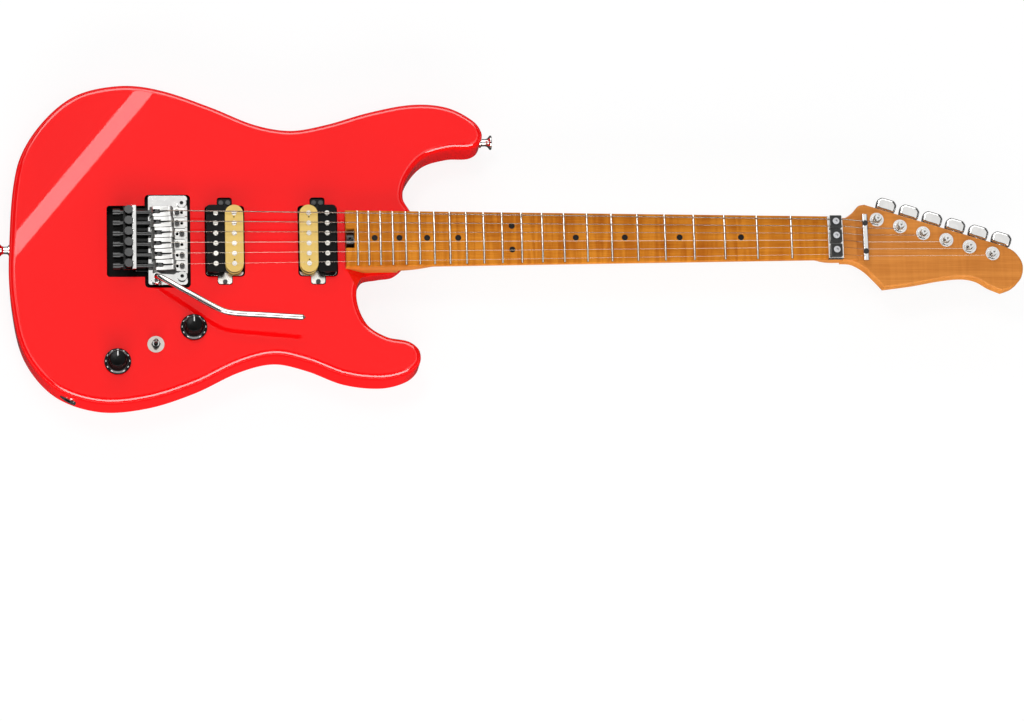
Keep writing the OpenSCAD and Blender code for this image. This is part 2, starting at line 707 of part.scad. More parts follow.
module nut_base() color([0.75, 0.75, 0.77]) difference() {
    intersection() {
        box(scale_len + seat, -nut_w / 2, board_z + seat, nut_back, nut_w / 2, nut_top + over);
        crown_bar(scale_len - over, nut_back + over, nut_lift);
    }
    for (y = clamp_y) rod_z(clamp_x, y, nut_top - 6, nut_top + over, clamp_screw_d + 2 * seat);
}

module nut_clamps() color([0.75, 0.75, 0.77]) for (y = clamp_y) difference() {
    box(clamp_x - clamp_size.x / 2, y - clamp_size.y / 2, clamp_z(y),
        clamp_x + clamp_size.x / 2, y + clamp_size.y / 2, clamp_z(y) + clamp_size.z);
    rod_z(clamp_x, y, clamp_z(y) - over, clamp_z(y) + clamp_size.z + over, clamp_screw_d + 2 * seat);
    rod_z(clamp_x, y, clamp_z(y) + 1.8 - seat, clamp_z(y) + clamp_size.z + over, 6.6 + 2 * seat);
}

module nut_clamp_screws() color([0.1, 0.1, 0.1]) for (y = clamp_y) difference() {
    union() {
        rod_z(clamp_x, y, nut_top - 5.5, clamp_z(y) + 2.5, clamp_screw_d);
        rod_z(clamp_x, y, clamp_z(y) + 1.8, clamp_z(y) + clamp_size.z + 1.4, 6.6);
    }
    translate([clamp_x, y, clamp_z(y) + clamp_size.z - 0.6]) cylinder(d = 3.5, h = 3, $fn = 6);
}

module string_retainer() color([0.8, 0.8, 0.8]) difference() {
    translate([retainer_x, retainer_half, retainer_z]) rotate([90, 0, 0]) linear_extrude(2 * retainer_half)
        polygon(round_rect(-retainer_d / 2, -retainer_d / 2, retainer_d / 2, retainer_d / 2, 1.2));
    for (y = [-retainer_screw_y, retainer_screw_y]) {
        rod_z(retainer_x, y, retainer_z - retainer_d, retainer_z + retainer_d, screw_d + 2 * seat);
        rod_z(retainer_x, y, retainer_z + retainer_d / 2 - 1.2, retainer_z + retainer_d, screw_head + 2 * seat);
    }
}

// Tuners

module tuner_bodies() color([0.8, 0.8, 0.8]) for (i = [0 : string_count - 1]) at_tuner(i) {
    h = housing;
    difference() {
        union() {
            plate(round_rect(h[0], h[1], h[2], h[3], 2.5), head_back - seat - housing_h, head_back - seat);
            rod_z(3, -10.2, head_back - seat - 2.2, head_back - seat, 7);
            box(0, -10, head_back - seat - 2.2, 6, -6, head_back - seat);
        }
        w = housing_wall;
        plate(round_rect(h[0] + w, h[1] + w, h[2] - w, h[3] - w, 1.6),
              head_back - housing_h + housing_wall, head_back + over);
        rod_z(3, -10.2, head_back - 4, head_back + over, screw_d + 2 * seat);
        translate([worm_gap, 0, worm_z]) rotate([-90, 0, 0]) cylinder(d = worm_shaft_d + 2 * run, h = 20);
    }
    difference() {
        union() {
            rod_z(0, 0, head_back + 1, head_top + 3.2, 2 * bushing_r);
            rod_z(0, 0, head_top + seat, head_top + 1.2, 14);
            translate([0, 0, head_top + 1.1]) cylinder(d = 11.6, h = 2, $fn = 6);
        }
        rod_z(0, 0, head_back, head_top + 5, post_d + 2 * run);
    }
}
worm_shaft_d = 3.4;

module tuner_post(i) color([0.85, 0.85, 0.85]) at_tuner(i - 1) difference() {
    union() {
        rod_z(0, 0, head_back - housing_h + housing_wall + 0.3, head_top + post_h, post_d);
        rod_z(0, 0, worm_z - 2.5, worm_z + 2.5, 2 * gear_r);
    }
    box(-0.75, -post_d, head_top + post_h - 3, 0.75, post_d, head_top + post_h + over);
    rod_z(0, 0, head_top + post_h - 5, head_top + post_h + over, 2.2);
}

module tuner_button(i) color([0.85, 0.85, 0.85]) at_tuner(i - 1)
    translate([worm_gap, 0, worm_z]) rotate([-90, 0, 0]) {
        translate([0, 0, housing[1] + housing_wall + 0.3])
            cylinder(d = worm_shaft_d, h = button_at - housing[1]);
        translate([0, 0, -4]) cylinder(r = worm_r, h = 8);
        translate([0, 0, housing[3] + 0.4]) cylinder(d = 5.4, h = 2.5);
        translate([0, 0, button_at]) button_shape();
    }

module button_shape() {
    neck = 2.5;
    for (p = [[-neck, 5.6, 5.6]]) translate([0, 0, p[0]]) cylinder(d = p[1], h = neck + 1);
    rotate([90, 0, 0]) translate([0, 0, -button_t / 2]) linear_extrude(button_t)
        polygon(round_rect(-button_w / 2, 0, button_w / 2, button_l, 4));
}

// Bridge

module trem_studs() color([0.75, 0.75, 0.75]) for (y = [-stud_spacing / 2, stud_spacing / 2]) {
    difference() {
        rod_z(pivot_x, y, recess_z - insert_len, recess_z, insert_d);
        rod_z(pivot_x, y, recess_z - insert_len - over, recess_z + over, stud_d + 2 * seat);
    }
    difference() {
        union() {
            rod_z(pivot_x, y, recess_z - insert_len + 2, plate_z - 2.2, stud_d);
            rod_z(pivot_x, y, plate_z - 3, plate_top + 2, waist_d);
            rod_z(pivot_x, y, plate_top + 1.2, plate_top + 3, stud_d + 1.4);
        }
        translate([pivot_x, y, plate_top + 1.6]) cylinder(d = 4, h = 3, $fn = 6);
    }
}

module trem_plate() color([0.78, 0.78, 0.8]) difference() {
    union() {
        plate(round_rect(plate_back, -plate_w / 2, plate_front, plate_w / 2, 3), plate_z, plate_top);
        box(riser_x, -shelf_w / 2, plate_z, plate_back + 5, shelf_w / 2, plate_top);
        box(riser_x, -shelf_w / 2, plate_z, riser_x + riser_t, shelf_w / 2, shelf_z + shelf_t);
        box(shelf_back, -shelf_w / 2, shelf_z, riser_x + riser_t, shelf_w / 2, shelf_z + shelf_t);
        box(riser_x, -shelf_w / 2, shelf_z, riser_x + riser_t, shelf_w / 2, shelf_z + shelf_t + 2.6);
    }
    for (s = [-1, 1]) {
        rod_z(pivot_x, s * stud_spacing / 2, plate_z - over, plate_top + over, 2 * notch_r);
        box(pivot_x, s * stud_spacing / 2 - notch_r, plate_z - over,
            plate_front + over, s * stud_spacing / 2 + notch_r, plate_top + over);
    }
    for (i = [0 : string_count - 1]) {
        y = string_at(i, spread_bridge);
        box(riser_x - over, y - lock_d / 2 - 0.8, plate_top,
            riser_x + riser_t + over, y + lock_d / 2 + 0.8, shelf_z);
        rod_z(fine_x, y, shelf_z - over, shelf_z + shelf_t + over, fine_shank + 2 * run);
        rod_z(fine_x, y, shelf_z + shelf_t, shelf_z + shelf_t + 4, fine_d + 1);
        box(riser_x + riser_t + 0.6, y - saddle_w / 2 + 1.2, plate_z - over,
            saddle_back - 2.8, y + saddle_w / 2 - 1.2, plate_top + over);
        for (x = bolt_rows) rod_z(x, y, plate_z - over, plate_top + over, bolt_d + 2 * seat);
    }
    for (y = [-block_screw_y, 0, block_screw_y]) {
        rod_z(block_front - block_t / 2, y, plate_z - over, plate_top + over, block_screw_d + 2 * seat);
        rod_z(block_front - block_t / 2, y, plate_top - 2, plate_top + over, block_screw_d + 3 + 2 * seat);
    }
    rod_z(arm_at.x, arm_at.y, plate_z - over, plate_top + over, collar_d + 2 * seat);
}

module trem_block() color([0.6, 0.6, 0.62]) difference() {
    box(block_front - block_t, -block_w / 2, plate_z - block_h, block_front, block_w / 2, plate_z - seat);
    for (y = [-block_screw_y, 0, block_screw_y])
        rod_z(block_front - block_t / 2, y, plate_z - 14, plate_z + over, block_screw_d + 2 * seat);
}

module saddles() color([0.82, 0.82, 0.84]) for (i = [0 : string_count - 1]) {
    y = string_at(i, spread_bridge);
    h = string_seat(y) - plate_top;
    dx = intonation[i];
    front = saddle_front - dx;
    translate([dx, y, plate_top + seat]) difference() {
        rotate([90, 0, 0]) linear_extrude(saddle_w, center = true)
            polygon([[saddle_back, 0], [front, 0], [front, saddle_foot], [3.2, saddle_foot], [1.4, h - 0.8],
                     [0.6, h - 0.2 - seat], [-0.6, h - seat], [-1.8, h - 0.4], [saddle_slot[1], h - 2.2],
                     [saddle_slot[0], h - 2.2], [saddle_back + 2, h - 4], [saddle_back, h - 5]]);
        box(saddle_slot[0], -slot_w / 2, 1.6, saddle_slot[1], slot_w / 2, h + over);
        rotate([90, 0, 0]) linear_extrude(groove_w, center = true)
            polygon([[saddle_slot[1] - over, groove_z], [saddle_slot[1], groove_z], [-0.6, h - 0.9],
                     [-0.6, h + over], [saddle_slot[1] - over, h + over]]);
        rod_x(saddle_back - over, saddle_slot[0] + lock_gap + over, 0,
              lock_z - plate_top - seat, lock_d + 2 * drill);
        for (x = bolt_rows) rod_z(x - dx, 0, -over, saddle_foot + over, bolt_d + 2 * seat);
        for (x = bolt_rows) rod_z(x - dx, 0, saddle_foot, h, bolt_head_d + 1);
    }
}

module string_lock_blocks() color([0.3, 0.3, 0.3]) for (i = [0 : string_count - 1])
    translate([intonation[i], string_at(i, spread_bridge), plate_top])
        box(saddle_slot[0] + lock_gap, -slot_w / 2 + 0.2, 1.7,
            saddle_slot[1] - thickest - 0.3, slot_w / 2 - 0.2, 7.6);

module bridge_screws() color([0.12, 0.12, 0.12]) {
    for (i = [0 : string_count - 1]) {
        x = bolt_rows[bolt_row[i]];
        y = string_at(i, spread_bridge);
        foot_top = plate_top + saddle_foot + 2 * seat;
        rod_z(x, y, plate_z - 0.5, foot_top + 1, bolt_d);
        difference() {
            rod_z(x, y, foot_top, foot_top + 2.6, bolt_head_d);
            translate([x, y, foot_top + 1.2]) cylinder(d = 2.6, h = 3, $fn = 6);
        }
        difference() {
            union() {
                rod_x(lock_tip, intonation[i] + saddle_slot[0] + lock_gap - seat, y, lock_z, lock_d);
                rod_x(lock_tip, lock_tip + lock_head_len, y, lock_z, lock_head_d);
            }
            translate([lock_tip - over, y, lock_z]) rotate([0, 90, 0]) cylinder(d = 3.6, h = 4, $fn = 6);
        }
    }
    for (y = [-block_screw_y, 0, block_screw_y]) {
        rod_z(block_front - block_t / 2, y, plate_z - 13, plate_top - 0.5, block_screw_d);
        rod_z(block_front - block_t / 2, y, plate_top - 2 + seat, plate_top - 0.2, block_screw_d + 3);
    }
}

module fine_tuner(i) color([0.15, 0.15, 0.15]) {
    y = string_at(i - 1, spread_bridge);
    top = shelf_z + shelf_t;
    rod_z(fine_x, y, lock_z + lock_d / 2 + 0.3, top + 2, fine_shank);
    difference() {
        rod_z(fine_x, y, top + 0.3, top + 0.3 + fine_h, fine_d);
        for (k = [0 : 11]) translate([fine_x, y, 0]) rotate([0, 0, 30 * k])
            rod_z(fine_d / 2 + 0.25, 0, top, top + fine_h + over, 1.3);
    }
}

module arm_collar() color([0.8, 0.8, 0.8]) difference() {
    union() {
        rod_z(arm_at.x, arm_at.y, plate_z - 1.5, plate_top + 6, collar_d);
        rod_z(arm_at.x, arm_at.y, plate_top + seat, plate_top + 2, collar_d + 1.6);
        rod_z(arm_at.x, arm_at.y, plate_top + 3.2, plate_top + 7.4, collar_d + 2.4);
    }
    rod_z(arm_at.x, arm_at.y, plate_z - 3, plate_top + 9, arm_d + 2 * run);
}

module trem_arm() color([0.85, 0.85, 0.85]) {
    rod_z(arm_at.x, arm_at.y, plate_z - 1, plate_top + 12, arm_d);
    stem = [[arm_at.x, arm_at.y, plate_top + 10], [arm_at.x, arm_at.y, plate_top + 14],
            [arm_at.x + 4, arm_at.y - 2.6, plate_top + 19]];
    tube(open_curve(concat(stem, arm_tip), 4), arm_d / 2 - 0.1, 12, [-0.6, -1, 0]);
}

// Springs

spring_from = block_front + 0.45;
spring_to = claw_x - 0.45;
coil_from = spring_from + 2 * wire_d;
coil_to = spring_to - 2 * wire_d;
coil_rings = 8;
coil_r = (spring_d - wire_d) / 2;
coil_gap = (coil_to - coil_from) / spring_turns - wire_d;
echo(spring_gap = coil_gap);

module springs() color([0.7, 0.7, 0.72]) for (y = spring_y)
    tube(concat([[spring_from, y, spring_z], [spring_from + wire_d, y + coil_r / 2, spring_z]],
            [for (k = [0 : spring_turns * coil_rings])
                let (a = 360 * k / coil_rings, t = k / (spring_turns * coil_rings))
                [coil_from + (coil_to - coil_from) * t, y + coil_r * cos(a), spring_z + coil_r * sin(a)]],
            [[spring_to - wire_d, y + coil_r / 2, spring_z], [spring_to, y, spring_z]]),
        wire_d / 2, 6, [1, 0, 0]);

module spring_claw() color([0.6, 0.6, 0.6]) difference() {
    box(claw_x, -claw_w / 2, cover_t + 3, claw_x + claw_t, claw_w / 2, spring_depth - 0.5);
    for (y = [-claw_screw_y, claw_screw_y])
        rod_x(claw_x - over, claw_x + claw_t + over, y, spring_z, claw_screw_d + 2 * seat);
}

// Pickups

function bobbin_x(k, side) = pickup_x[k] + side * (bobbin_w + bobbin_gap) / 2;
// The black coil faces the bridge on the first pickup and the neck on the second
black_side = [-1, 1];
function stadium(x, w, l) = slot_points([x, -(l - w) / 2], [x, (l - w) / 2], w / 2);
function pole_y(i) = string_at(i, pole_spread);

module pickup_baseplates() color([0.75, 0.74, 0.7]) for (x = pickup_x) difference() {
    union() {
        plate(round_rect(x - pickup_w / 2, -bobbin_l / 2 - 0.5, x + pickup_w / 2, bobbin_l / 2 + 0.5, 3),
              leg_z + seat, magnet_z);
        plate(round_rect(x - leg_w / 2, -leg_reach, x + leg_w / 2, leg_reach, 2.5), leg_z + seat, magnet_z);
    }
    for (p = pickup_screws)
        rod_z(x + p.x, p.y, leg_z - over, magnet_z + over, screw_d + 2 * seat);
}

module bobbin(x, flange) difference() {
    union() {
        plate(flange, bobbin_z + seat, bobbin_z + flange_t);
        plate(stadium(x, bobbin_w - 2 * core_inset, bobbin_l - 2 * core_inset), bobbin_z + seat, bobbin_top);
        plate(flange, bobbin_top - flange_t, bobbin_top);
    }
    for (i = [0 : string_count - 1]) rod_z(x, pole_y(i), bobbin_z - over, bobbin_top + over, pole_d + 2 * seat);
}

module black_bobbins() color([0.05, 0.05, 0.05]) for (k = [0, 1]) {
    x = bobbin_x(k, black_side[k]);
    bobbin(x, round_rect(x - bobbin_w / 2, -bobbin_l / 2, x + bobbin_w / 2, bobbin_l / 2, bobbin_corner));
}

module cream_bobbins() color([0.93, 0.85, 0.6]) for (k = [0, 1]) {
    x = bobbin_x(k, -black_side[k]);
    bobbin(x, stadium(x, bobbin_w, bobbin_l));
}

module pickup_coils() color([0.25, 0.12, 0.08]) for (k = [0, 1], s = [-1, 1]) difference() {
    plate(stadium(bobbin_x(k, s), bobbin_w - 1.4, bobbin_l - 1.4),
          bobbin_z + flange_t + seat, bobbin_top - flange_t - seat);
    plate(stadium(bobbin_x(k, s), bobbin_w - 2 * core_inset + 2 * seat, bobbin_l - 2 * core_inset + 2 * seat),
          bobbin_z, bobbin_top);
}

module pickup_magnets() color([0.3, 0.3, 0.3]) for (x = pickup_x)
    box(x - bobbin_w / 2 + pole_d / 2 + 0.4, -magnet_half, magnet_z + seat,
        x + bobbin_w / 2 - pole_d / 2 - 0.4, magnet_half, bobbin_z);

module pole_pieces() color([0.8, 0.8, 0.8]) for (k = [0, 1], s = [-1, 1], i = [0 : string_count - 1])
    difference() {
        rod_z(bobbin_x(k, s), pole_y(i), magnet_z + seat, bobbin_top + 0.4, pole_d);
        if (s == black_side[k]) translate([bobbin_x(k, s), pole_y(i), bobbin_top + 0.4])
            cube([pole_d * 2, 0.9, 1.4], center = true);
    }

// Controls

module pots() color([0.6, 0.6, 0.58]) for (p = [volume_at, tone_at]) difference() {
    union() {
        rod_z(p.x, p.y, control_top - seat - 9, control_top - seat, pot_d);
        rod_z(p.x, p.y, control_top - over, body_t + bushing_h, bushing_d);
    }
    rod_z(p.x, p.y, control_top - 4, body_t + bushing_h + over, shaft_d + 2 * run);
}

module knob(p) color([0.04, 0.04, 0.04]) {
    z = body_t + knob_gap;
    inside = body_t + bushing_h + 0.8;
    difference() {
        union() {
            rod_z(p.x, p.y, z, z + skirt_h, knob_d);
            translate([p.x, p.y, z + skirt_h - 0.5])
                cylinder(d1 = cap_d + 1, d2 = cap_d - 1, h = knob_h - skirt_h + 0.5);
        }
        rod_z(p.x, p.y, z - over, inside, cap_d - 3);
        rod_z(p.x, p.y, z, z + knob_h - 2 + seat, shaft_d + 2 * seat);
    }
    rod_z(p.x, p.y, control_top - 3, z + knob_h - 2, shaft_d);
}
module volume_knob() knob(volume_at);
module tone_knob() knob(tone_at);

module hex_nut(washer_d, across, bore, h) difference() {
    union() {
        cylinder(d = washer_d, h = 1);
        cylinder(d = across, h = h, $fn = 6);
    }
    translate([0, 0, -over]) cylinder(d = bore + 2 * seat, h = h + 2 * over);
}

module panel_nuts() color([0.8, 0.8, 0.8]) {
    for (p = [volume_at, tone_at])
        translate([p.x, p.y, body_t + seat]) hex_nut(cap_d - 4, 11.4, bushing_d, 3.2);
    translate([toggle_at.x, toggle_at.y, body_t + seat]) hex_nut(16.5, 9, toggle_d, 3);
    at_jack() translate([0, 0, -jack_wall - 2.6]) rotate([180, 0, 0]) hex_nut(15, 15.6, jack_d, 3);
}

module toggle_switch() color([0.3, 0.3, 0.32]) difference() {
    union() {
        box(toggle_at.x - 6.5, toggle_at.y - 4, control_top - seat - 9,
            toggle_at.x + 6.5, toggle_at.y + 4, control_top - seat);
        rod_z(toggle_at.x, toggle_at.y, control_top - over, body_t + bushing_h, toggle_d);
    }
    rod_z(toggle_at.x, toggle_at.y, toggle_pivot - 3, body_t + bushing_h + over, toggle_d - 1.5);
}

module toggle_lever() color([0.3, 0.3, 0.3]) translate([toggle_at.x, toggle_at.y, toggle_pivot]) {
    sphere(d = toggle_d - 1.5 - 0.3);
    cylinder(d1 = 2.4, d2 = 4, h = 14);
    translate([0, 0, 14]) sphere(d = 3.96);
}

module output_jack() color([0.8, 0.8, 0.8]) at_jack() difference() {
    union() {
        translate([0, 0, -jack_len]) cylinder(d = jack_d, h = jack_len + 1);
        translate([0, 0, seat]) cylinder(d = jack_flange_d, h = 2);
    }
    translate([0, 0, 2 - jack_depth]) cylinder(d = jack_bore, h = jack_depth + over);
}

module strap_buttons() color([0.82, 0.82, 0.82]) for (s = strap_seats) at_strap(s) difference() {
    rotate_extrude() polygon([[0, seat], [5.2, seat], [5.2, 1.2], [3.8, 2.2], [3.6, strap_len / 2],
                              [4.4, strap_len - 4], [strap_d / 2, strap_len - 1.6],
                              [strap_d / 2, strap_len - 0.6], [strap_d / 2 - 0.6, strap_len],
                              [0, strap_len]]);
    translate([0, 0, -over]) cylinder(d = screw_d + 0.6 + 2 * seat, h = strap_len + 2 * over);
    translate([0, 0, strap_len - 2.2 - seat]) cylinder(d = 7 + 2 * seat, h = 4);
}

module wood_screws() color([0.7, 0.7, 0.7]) {
    for (p = concat(spring_cover_screws, control_cover_screws)) translate([p.x, p.y, 0.1]) flat_screw(11.5);
    for (x = pickup_x, p = pickup_screws) {
        rod_z(x + p.x, p.y, leg_z - 13, magnet_z + 1, screw_d);
        rod_z(x + p.x, p.y, magnet_z + seat, magnet_z + 1.8, 4.6);
    }
    for (y = [-claw_screw_y, claw_screw_y]) {
        rod_x(claw_x - 1, spring_cavity[2] + 17, y, spring_z, claw_screw_d);
        rod_x(claw_x - 3, claw_x - seat, y, spring_z, 7.4);
    }
    for (y = [-retainer_screw_y, retainer_screw_y]) {
        rod_z(retainer_x, y, head_top - 9, retainer_z + retainer_d / 2, screw_d);
        rod_z(retainer_x, y, retainer_z + retainer_d / 2 - 1.2 + seat,
              retainer_z + retainer_d / 2 + 0.8, screw_head);
    }
    for (i = [0 : string_count - 1]) at_tuner(i) {
        rod_z(3, -10.2, head_back - 3, head_back + 8.5, screw_d);
        rod_z(3, -10.2, head_back - 4, head_back - 2.2 - 2 * seat, 4.8);
    }
    for (s = strap_seats) at_strap(s) {
        translate([0, 0, -23]) cylinder(d = screw_d + 0.6, h = strap_len + 22);
        translate([0, 0, strap_len - 2.2]) cylinder(d = 7, h = 1.8);
    }
}

// Strings, from the lock block over the saddle, the nut and under the retainer to the post
module strings() color([0.85, 0.8, 0.7]) for (i = [0 : string_count - 1]) {
    r = gauges[i] / 2;
    y0 = string_at(i, spread_bridge);
    y1 = string_at(i, spread_nut);
    z0 = string_seat(y0) + r + seat;
    z1 = nut_top - crown(y1) + r + seat;
    post = tuner_spot(i) + [-3, -post_d / 2 - r - 0.3];
    dx = intonation[i];
    x_in = dx + saddle_slot[1] - r - 0.1;
    rise = (string_seat(y0) - plate_top - 0.9 - groove_z) / (-0.6 - saddle_slot[1]);
    groove = plate_top + groove_z + r + 0.5;
    tube([[x_in, y0, plate_top + 2.4], [x_in, y0, plate_top + groove_z], [x_in + 1.4, y0, groove + 0.9 * rise],
          [dx - 2, y0, groove + (-2 - saddle_slot[1]) * rise], [dx - 0.6, y0, z0], [dx + 1, y0, z0 - 0.01],
          [scale_len + 1, y1, z1], [nut_back - 0.5, y1, z1],
          [nut_back + 1.5, y1, z1 - 0.5], [retainer_x - 2, y1, retainer_z - retainer_d / 2 - r],
          [retainer_x + 2, y1, retainer_z - retainer_d / 2 - r], [post.x, post.y, head_top + post_h - 4]],
        r, 6, [0, 1, 0]);
}
function tuner_spot(i) = [scale_len + tuner_first.x + tuner_pitch * i * cos(tuner_turn),
                          tuner_first.y + tuner_pitch * i * sin(tuner_turn)];

// Wires, each from its source to its solder point
wire_r = 1.1;
pot_back = control_top - seat - 9;
jack_end = jack_seat - jack_dir * (jack_len + 0.3);
bridge_wire = [[pickup_x[0], -20, leg_z - seat], [pickup_x[0], -20.5, 37], [51.5, -23, 33], [46.6, -33, 32.5],
               [38.7, -49, 32.5], [28.4, -70, 32.5], [28, -73, 31.5], [28.5, -75.5, 27.5], [26, -81, 25],
               [22.5, -86, 25.2], [22, -87, pot_back - seat]];
neck_wire = [[pickup_x[1], -20, leg_z - seat], [pickup_x[1], -20, 36], [pickup_x[1] - 5, -20, 31.5],
             [pickup_x[1] - 23, -20, 31], [pickup_x[0] + 23, -20, 31],
             [60, -20.5, 30], [51.5, -24.5, 29.5], [46.6, -33, 29.5], [38.7, -49, 29.5], [28.4, -70, 29.5],
             [26.4, -73.4, 27], [22, -76, 23.5], [15, -83, 22], [13, -87, 24.5], [13, -88, pot_back - seat]];
jack_wire = [[jack_end.x, jack_end.y, jack_z], [-78, -114, 22], [-62, -108, 20], [-30, -98, 18], [2, -92, 18],
             [16, -92, 21], [17.5, -93, 24.5], [17.5, -93, pot_back - seat]];
switch_wire = [[-16, -104, pot_back - seat], [-16, -104, 25.5], [-11, -102, 23], [0, -100, 23],
               [18, -99, 22.5], [24, -96.5, 24], [25, -95, 26], [25, -94, pot_back - seat]];
tone_wire = [[-53, -121, pot_back - seat], [-53, -121, 25.5], [-47, -118, 22.5], [-24, -109, 22],
             [-19, -107, 25], [-19, -106.5, pot_back - seat]];
ground_wire = [[29, -86, pot_back - seat], [29.5, -84, 24], [30, -79, 15], [30.5, -73.5, ground_z],
               [32.6, -60, ground_z], [37, -32, ground_z], [40, -27.5, 11.5], [48, -27, 11],
               [70, -27, 11], [86, -26, 11],
               [claw_x - seat, -23.5, 11]];

module wiring() color([0.15, 0.15, 0.15])
    for (w = [bridge_wire, neck_wire, jack_wire, switch_wire, tone_wire, ground_wire])
        tube(open_curve(w, 2), wire_r, 8, [0.83, 0.55, 0.1]);

body();
neck();
fretboard();
frets();
fret_dots();
truss_rod();
truss_rod_wheel();
neck_screws();
nut_base();
nut_clamps();
nut_clamp_screws();
string_retainer();
tuner_bodies();
wood_screws();
strap_buttons();
pickup_baseplates();
black_bobbins();
cream_bobbins();
pickup_coils();
pickup_magnets();
pole_pieces();
trem_studs();
trem_plate();
trem_block();
saddles();
string_lock_blocks();
bridge_screws();
arm_collar();
trem_arm();
springs();
spring_claw();
spring_cover();
control_cover();
pots();
panel_nuts();
toggle_switch();
toggle_lever();
volume_knob();
tone_knob();
output_jack();
strings();
wiring();
for (i = [1 : string_count]) {
    tuner_post(i);
    tuner_button(i);
    fine_tuner(i);
}
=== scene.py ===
"""The looks of the electric guitar: finishes, fine surfaces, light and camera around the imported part."""

from __future__ import annotations

import json
import logging
import math
from dataclasses import dataclass, field
from enum import Enum
from typing import Any, Sequence

import bmesh
import bpy
import numpy as np
from mathutils import Matrix, Vector

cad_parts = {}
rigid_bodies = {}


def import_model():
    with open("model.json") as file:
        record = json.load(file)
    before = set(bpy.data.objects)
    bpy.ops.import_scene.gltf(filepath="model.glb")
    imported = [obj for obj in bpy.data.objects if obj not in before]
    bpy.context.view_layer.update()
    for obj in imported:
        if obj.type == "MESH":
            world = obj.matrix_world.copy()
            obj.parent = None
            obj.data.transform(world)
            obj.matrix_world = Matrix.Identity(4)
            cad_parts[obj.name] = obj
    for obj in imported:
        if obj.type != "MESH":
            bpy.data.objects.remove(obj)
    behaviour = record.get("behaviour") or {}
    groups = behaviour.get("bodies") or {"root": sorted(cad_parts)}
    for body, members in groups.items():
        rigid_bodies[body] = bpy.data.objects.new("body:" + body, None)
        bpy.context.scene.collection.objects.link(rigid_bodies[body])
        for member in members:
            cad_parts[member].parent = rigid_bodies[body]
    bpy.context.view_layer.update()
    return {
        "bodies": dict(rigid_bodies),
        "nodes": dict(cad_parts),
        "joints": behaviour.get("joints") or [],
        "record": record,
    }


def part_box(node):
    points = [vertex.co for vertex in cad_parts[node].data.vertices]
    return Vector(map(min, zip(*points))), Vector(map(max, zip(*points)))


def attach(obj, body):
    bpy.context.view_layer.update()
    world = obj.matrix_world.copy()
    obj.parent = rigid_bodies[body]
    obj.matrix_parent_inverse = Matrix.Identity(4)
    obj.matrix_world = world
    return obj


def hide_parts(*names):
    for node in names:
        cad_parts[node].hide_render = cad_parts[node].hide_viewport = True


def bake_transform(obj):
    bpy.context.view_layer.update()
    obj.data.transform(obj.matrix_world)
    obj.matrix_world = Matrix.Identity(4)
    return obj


log = logging.getLogger("guitar")

Array = np.ndarray
Pair = tuple[float, float]
Triple = tuple[float, float, float]
Pieces = list[bpy.types.Object]

# Lengths are in millimetres and angles in degrees, unless a line says otherwise.
MM = 0.001
SCALE = 648.0
NUT_BACK = 663.0
BODY_THICK = 45.0
PAST_FRONT = BODY_THICK + 1.0
PAST_BACK = -1.0
VOLUME_AT: Pair = (21.0, -87.0)
TONE_AT: Pair = (-53.0, -121.0)
TOGGLE_AT: Pair = (-16.0, -104.0)


class Slot(Enum):
    """The record's material slots."""

    RED_PAINT = "red_paint"
    ROASTED_MAPLE = "roasted_maple"
    FRETBOARD_MAPLE = "fretboard_maple"
    FRET_WIRE = "fret_wire"
    BLACK_INLAY = "black_inlay"
    CHROME = "chrome"
    STEEL = "steel"
    BLACK_STEEL = "black_steel"
    BLACK_PLASTIC = "black_plastic"
    CREAM_PLASTIC = "cream_plastic"
    COIL_WIRE = "coil_wire"
    NICKEL = "nickel"
    STRING_STEEL = "string_steel"
    WIRE_JACKET = "wire_jacket"


class Signal:
    """A shader socket that does arithmetic: each operator adds one Math node."""

    def __init__(self, board: Board, socket: Any) -> None:
        """Keeps the socket and the board that it is on."""
        self.board = board
        self.socket = socket

    def _math(self, operation: str, left: Any, right: Any) -> Signal:
        """Adds a Math node for two operands."""
        return self.board.node("ShaderNodeMath", {"operation": operation}, {0: left, 1: right})

    def __add__(self, other: Any) -> Signal:
        """Adds."""
        return self._math("ADD", self, other)

    __radd__ = __add__

    def __mul__(self, other: Any) -> Signal:
        """Multiplies."""
        return self._math("MULTIPLY", self, other)

    __rmul__ = __mul__

    def __sub__(self, other: Any) -> Signal:
        """Subtracts."""
        return self._math("SUBTRACT", self, other)

    def __rsub__(self, other: Any) -> Signal:
        """Subtracts from a number."""
        return self._math("SUBTRACT", other, self)

    def __truediv__(self, other: Any) -> Signal:
        """Divides."""
        return self._math("DIVIDE", self, other)

    def __rtruediv__(self, other: Any) -> Signal:
        """Divides a number."""
        return self._math("DIVIDE", other, self)

    def __gt__(self, other: Any) -> Signal:
        """Gives 1 where the signal is greater, else 0."""
        return self._math("GREATER_THAN", self, other)

    def band(self, low: float, high: float) -> Signal:
        """Maps low to 0 and high to 1, with a smooth clamp between them."""
        ends = {"Value": self, "From Min": low, "From Max": high}
        return self.board.node("ShaderNodeMapRange", {"interpolation_type": "SMOOTHSTEP"}, ends)


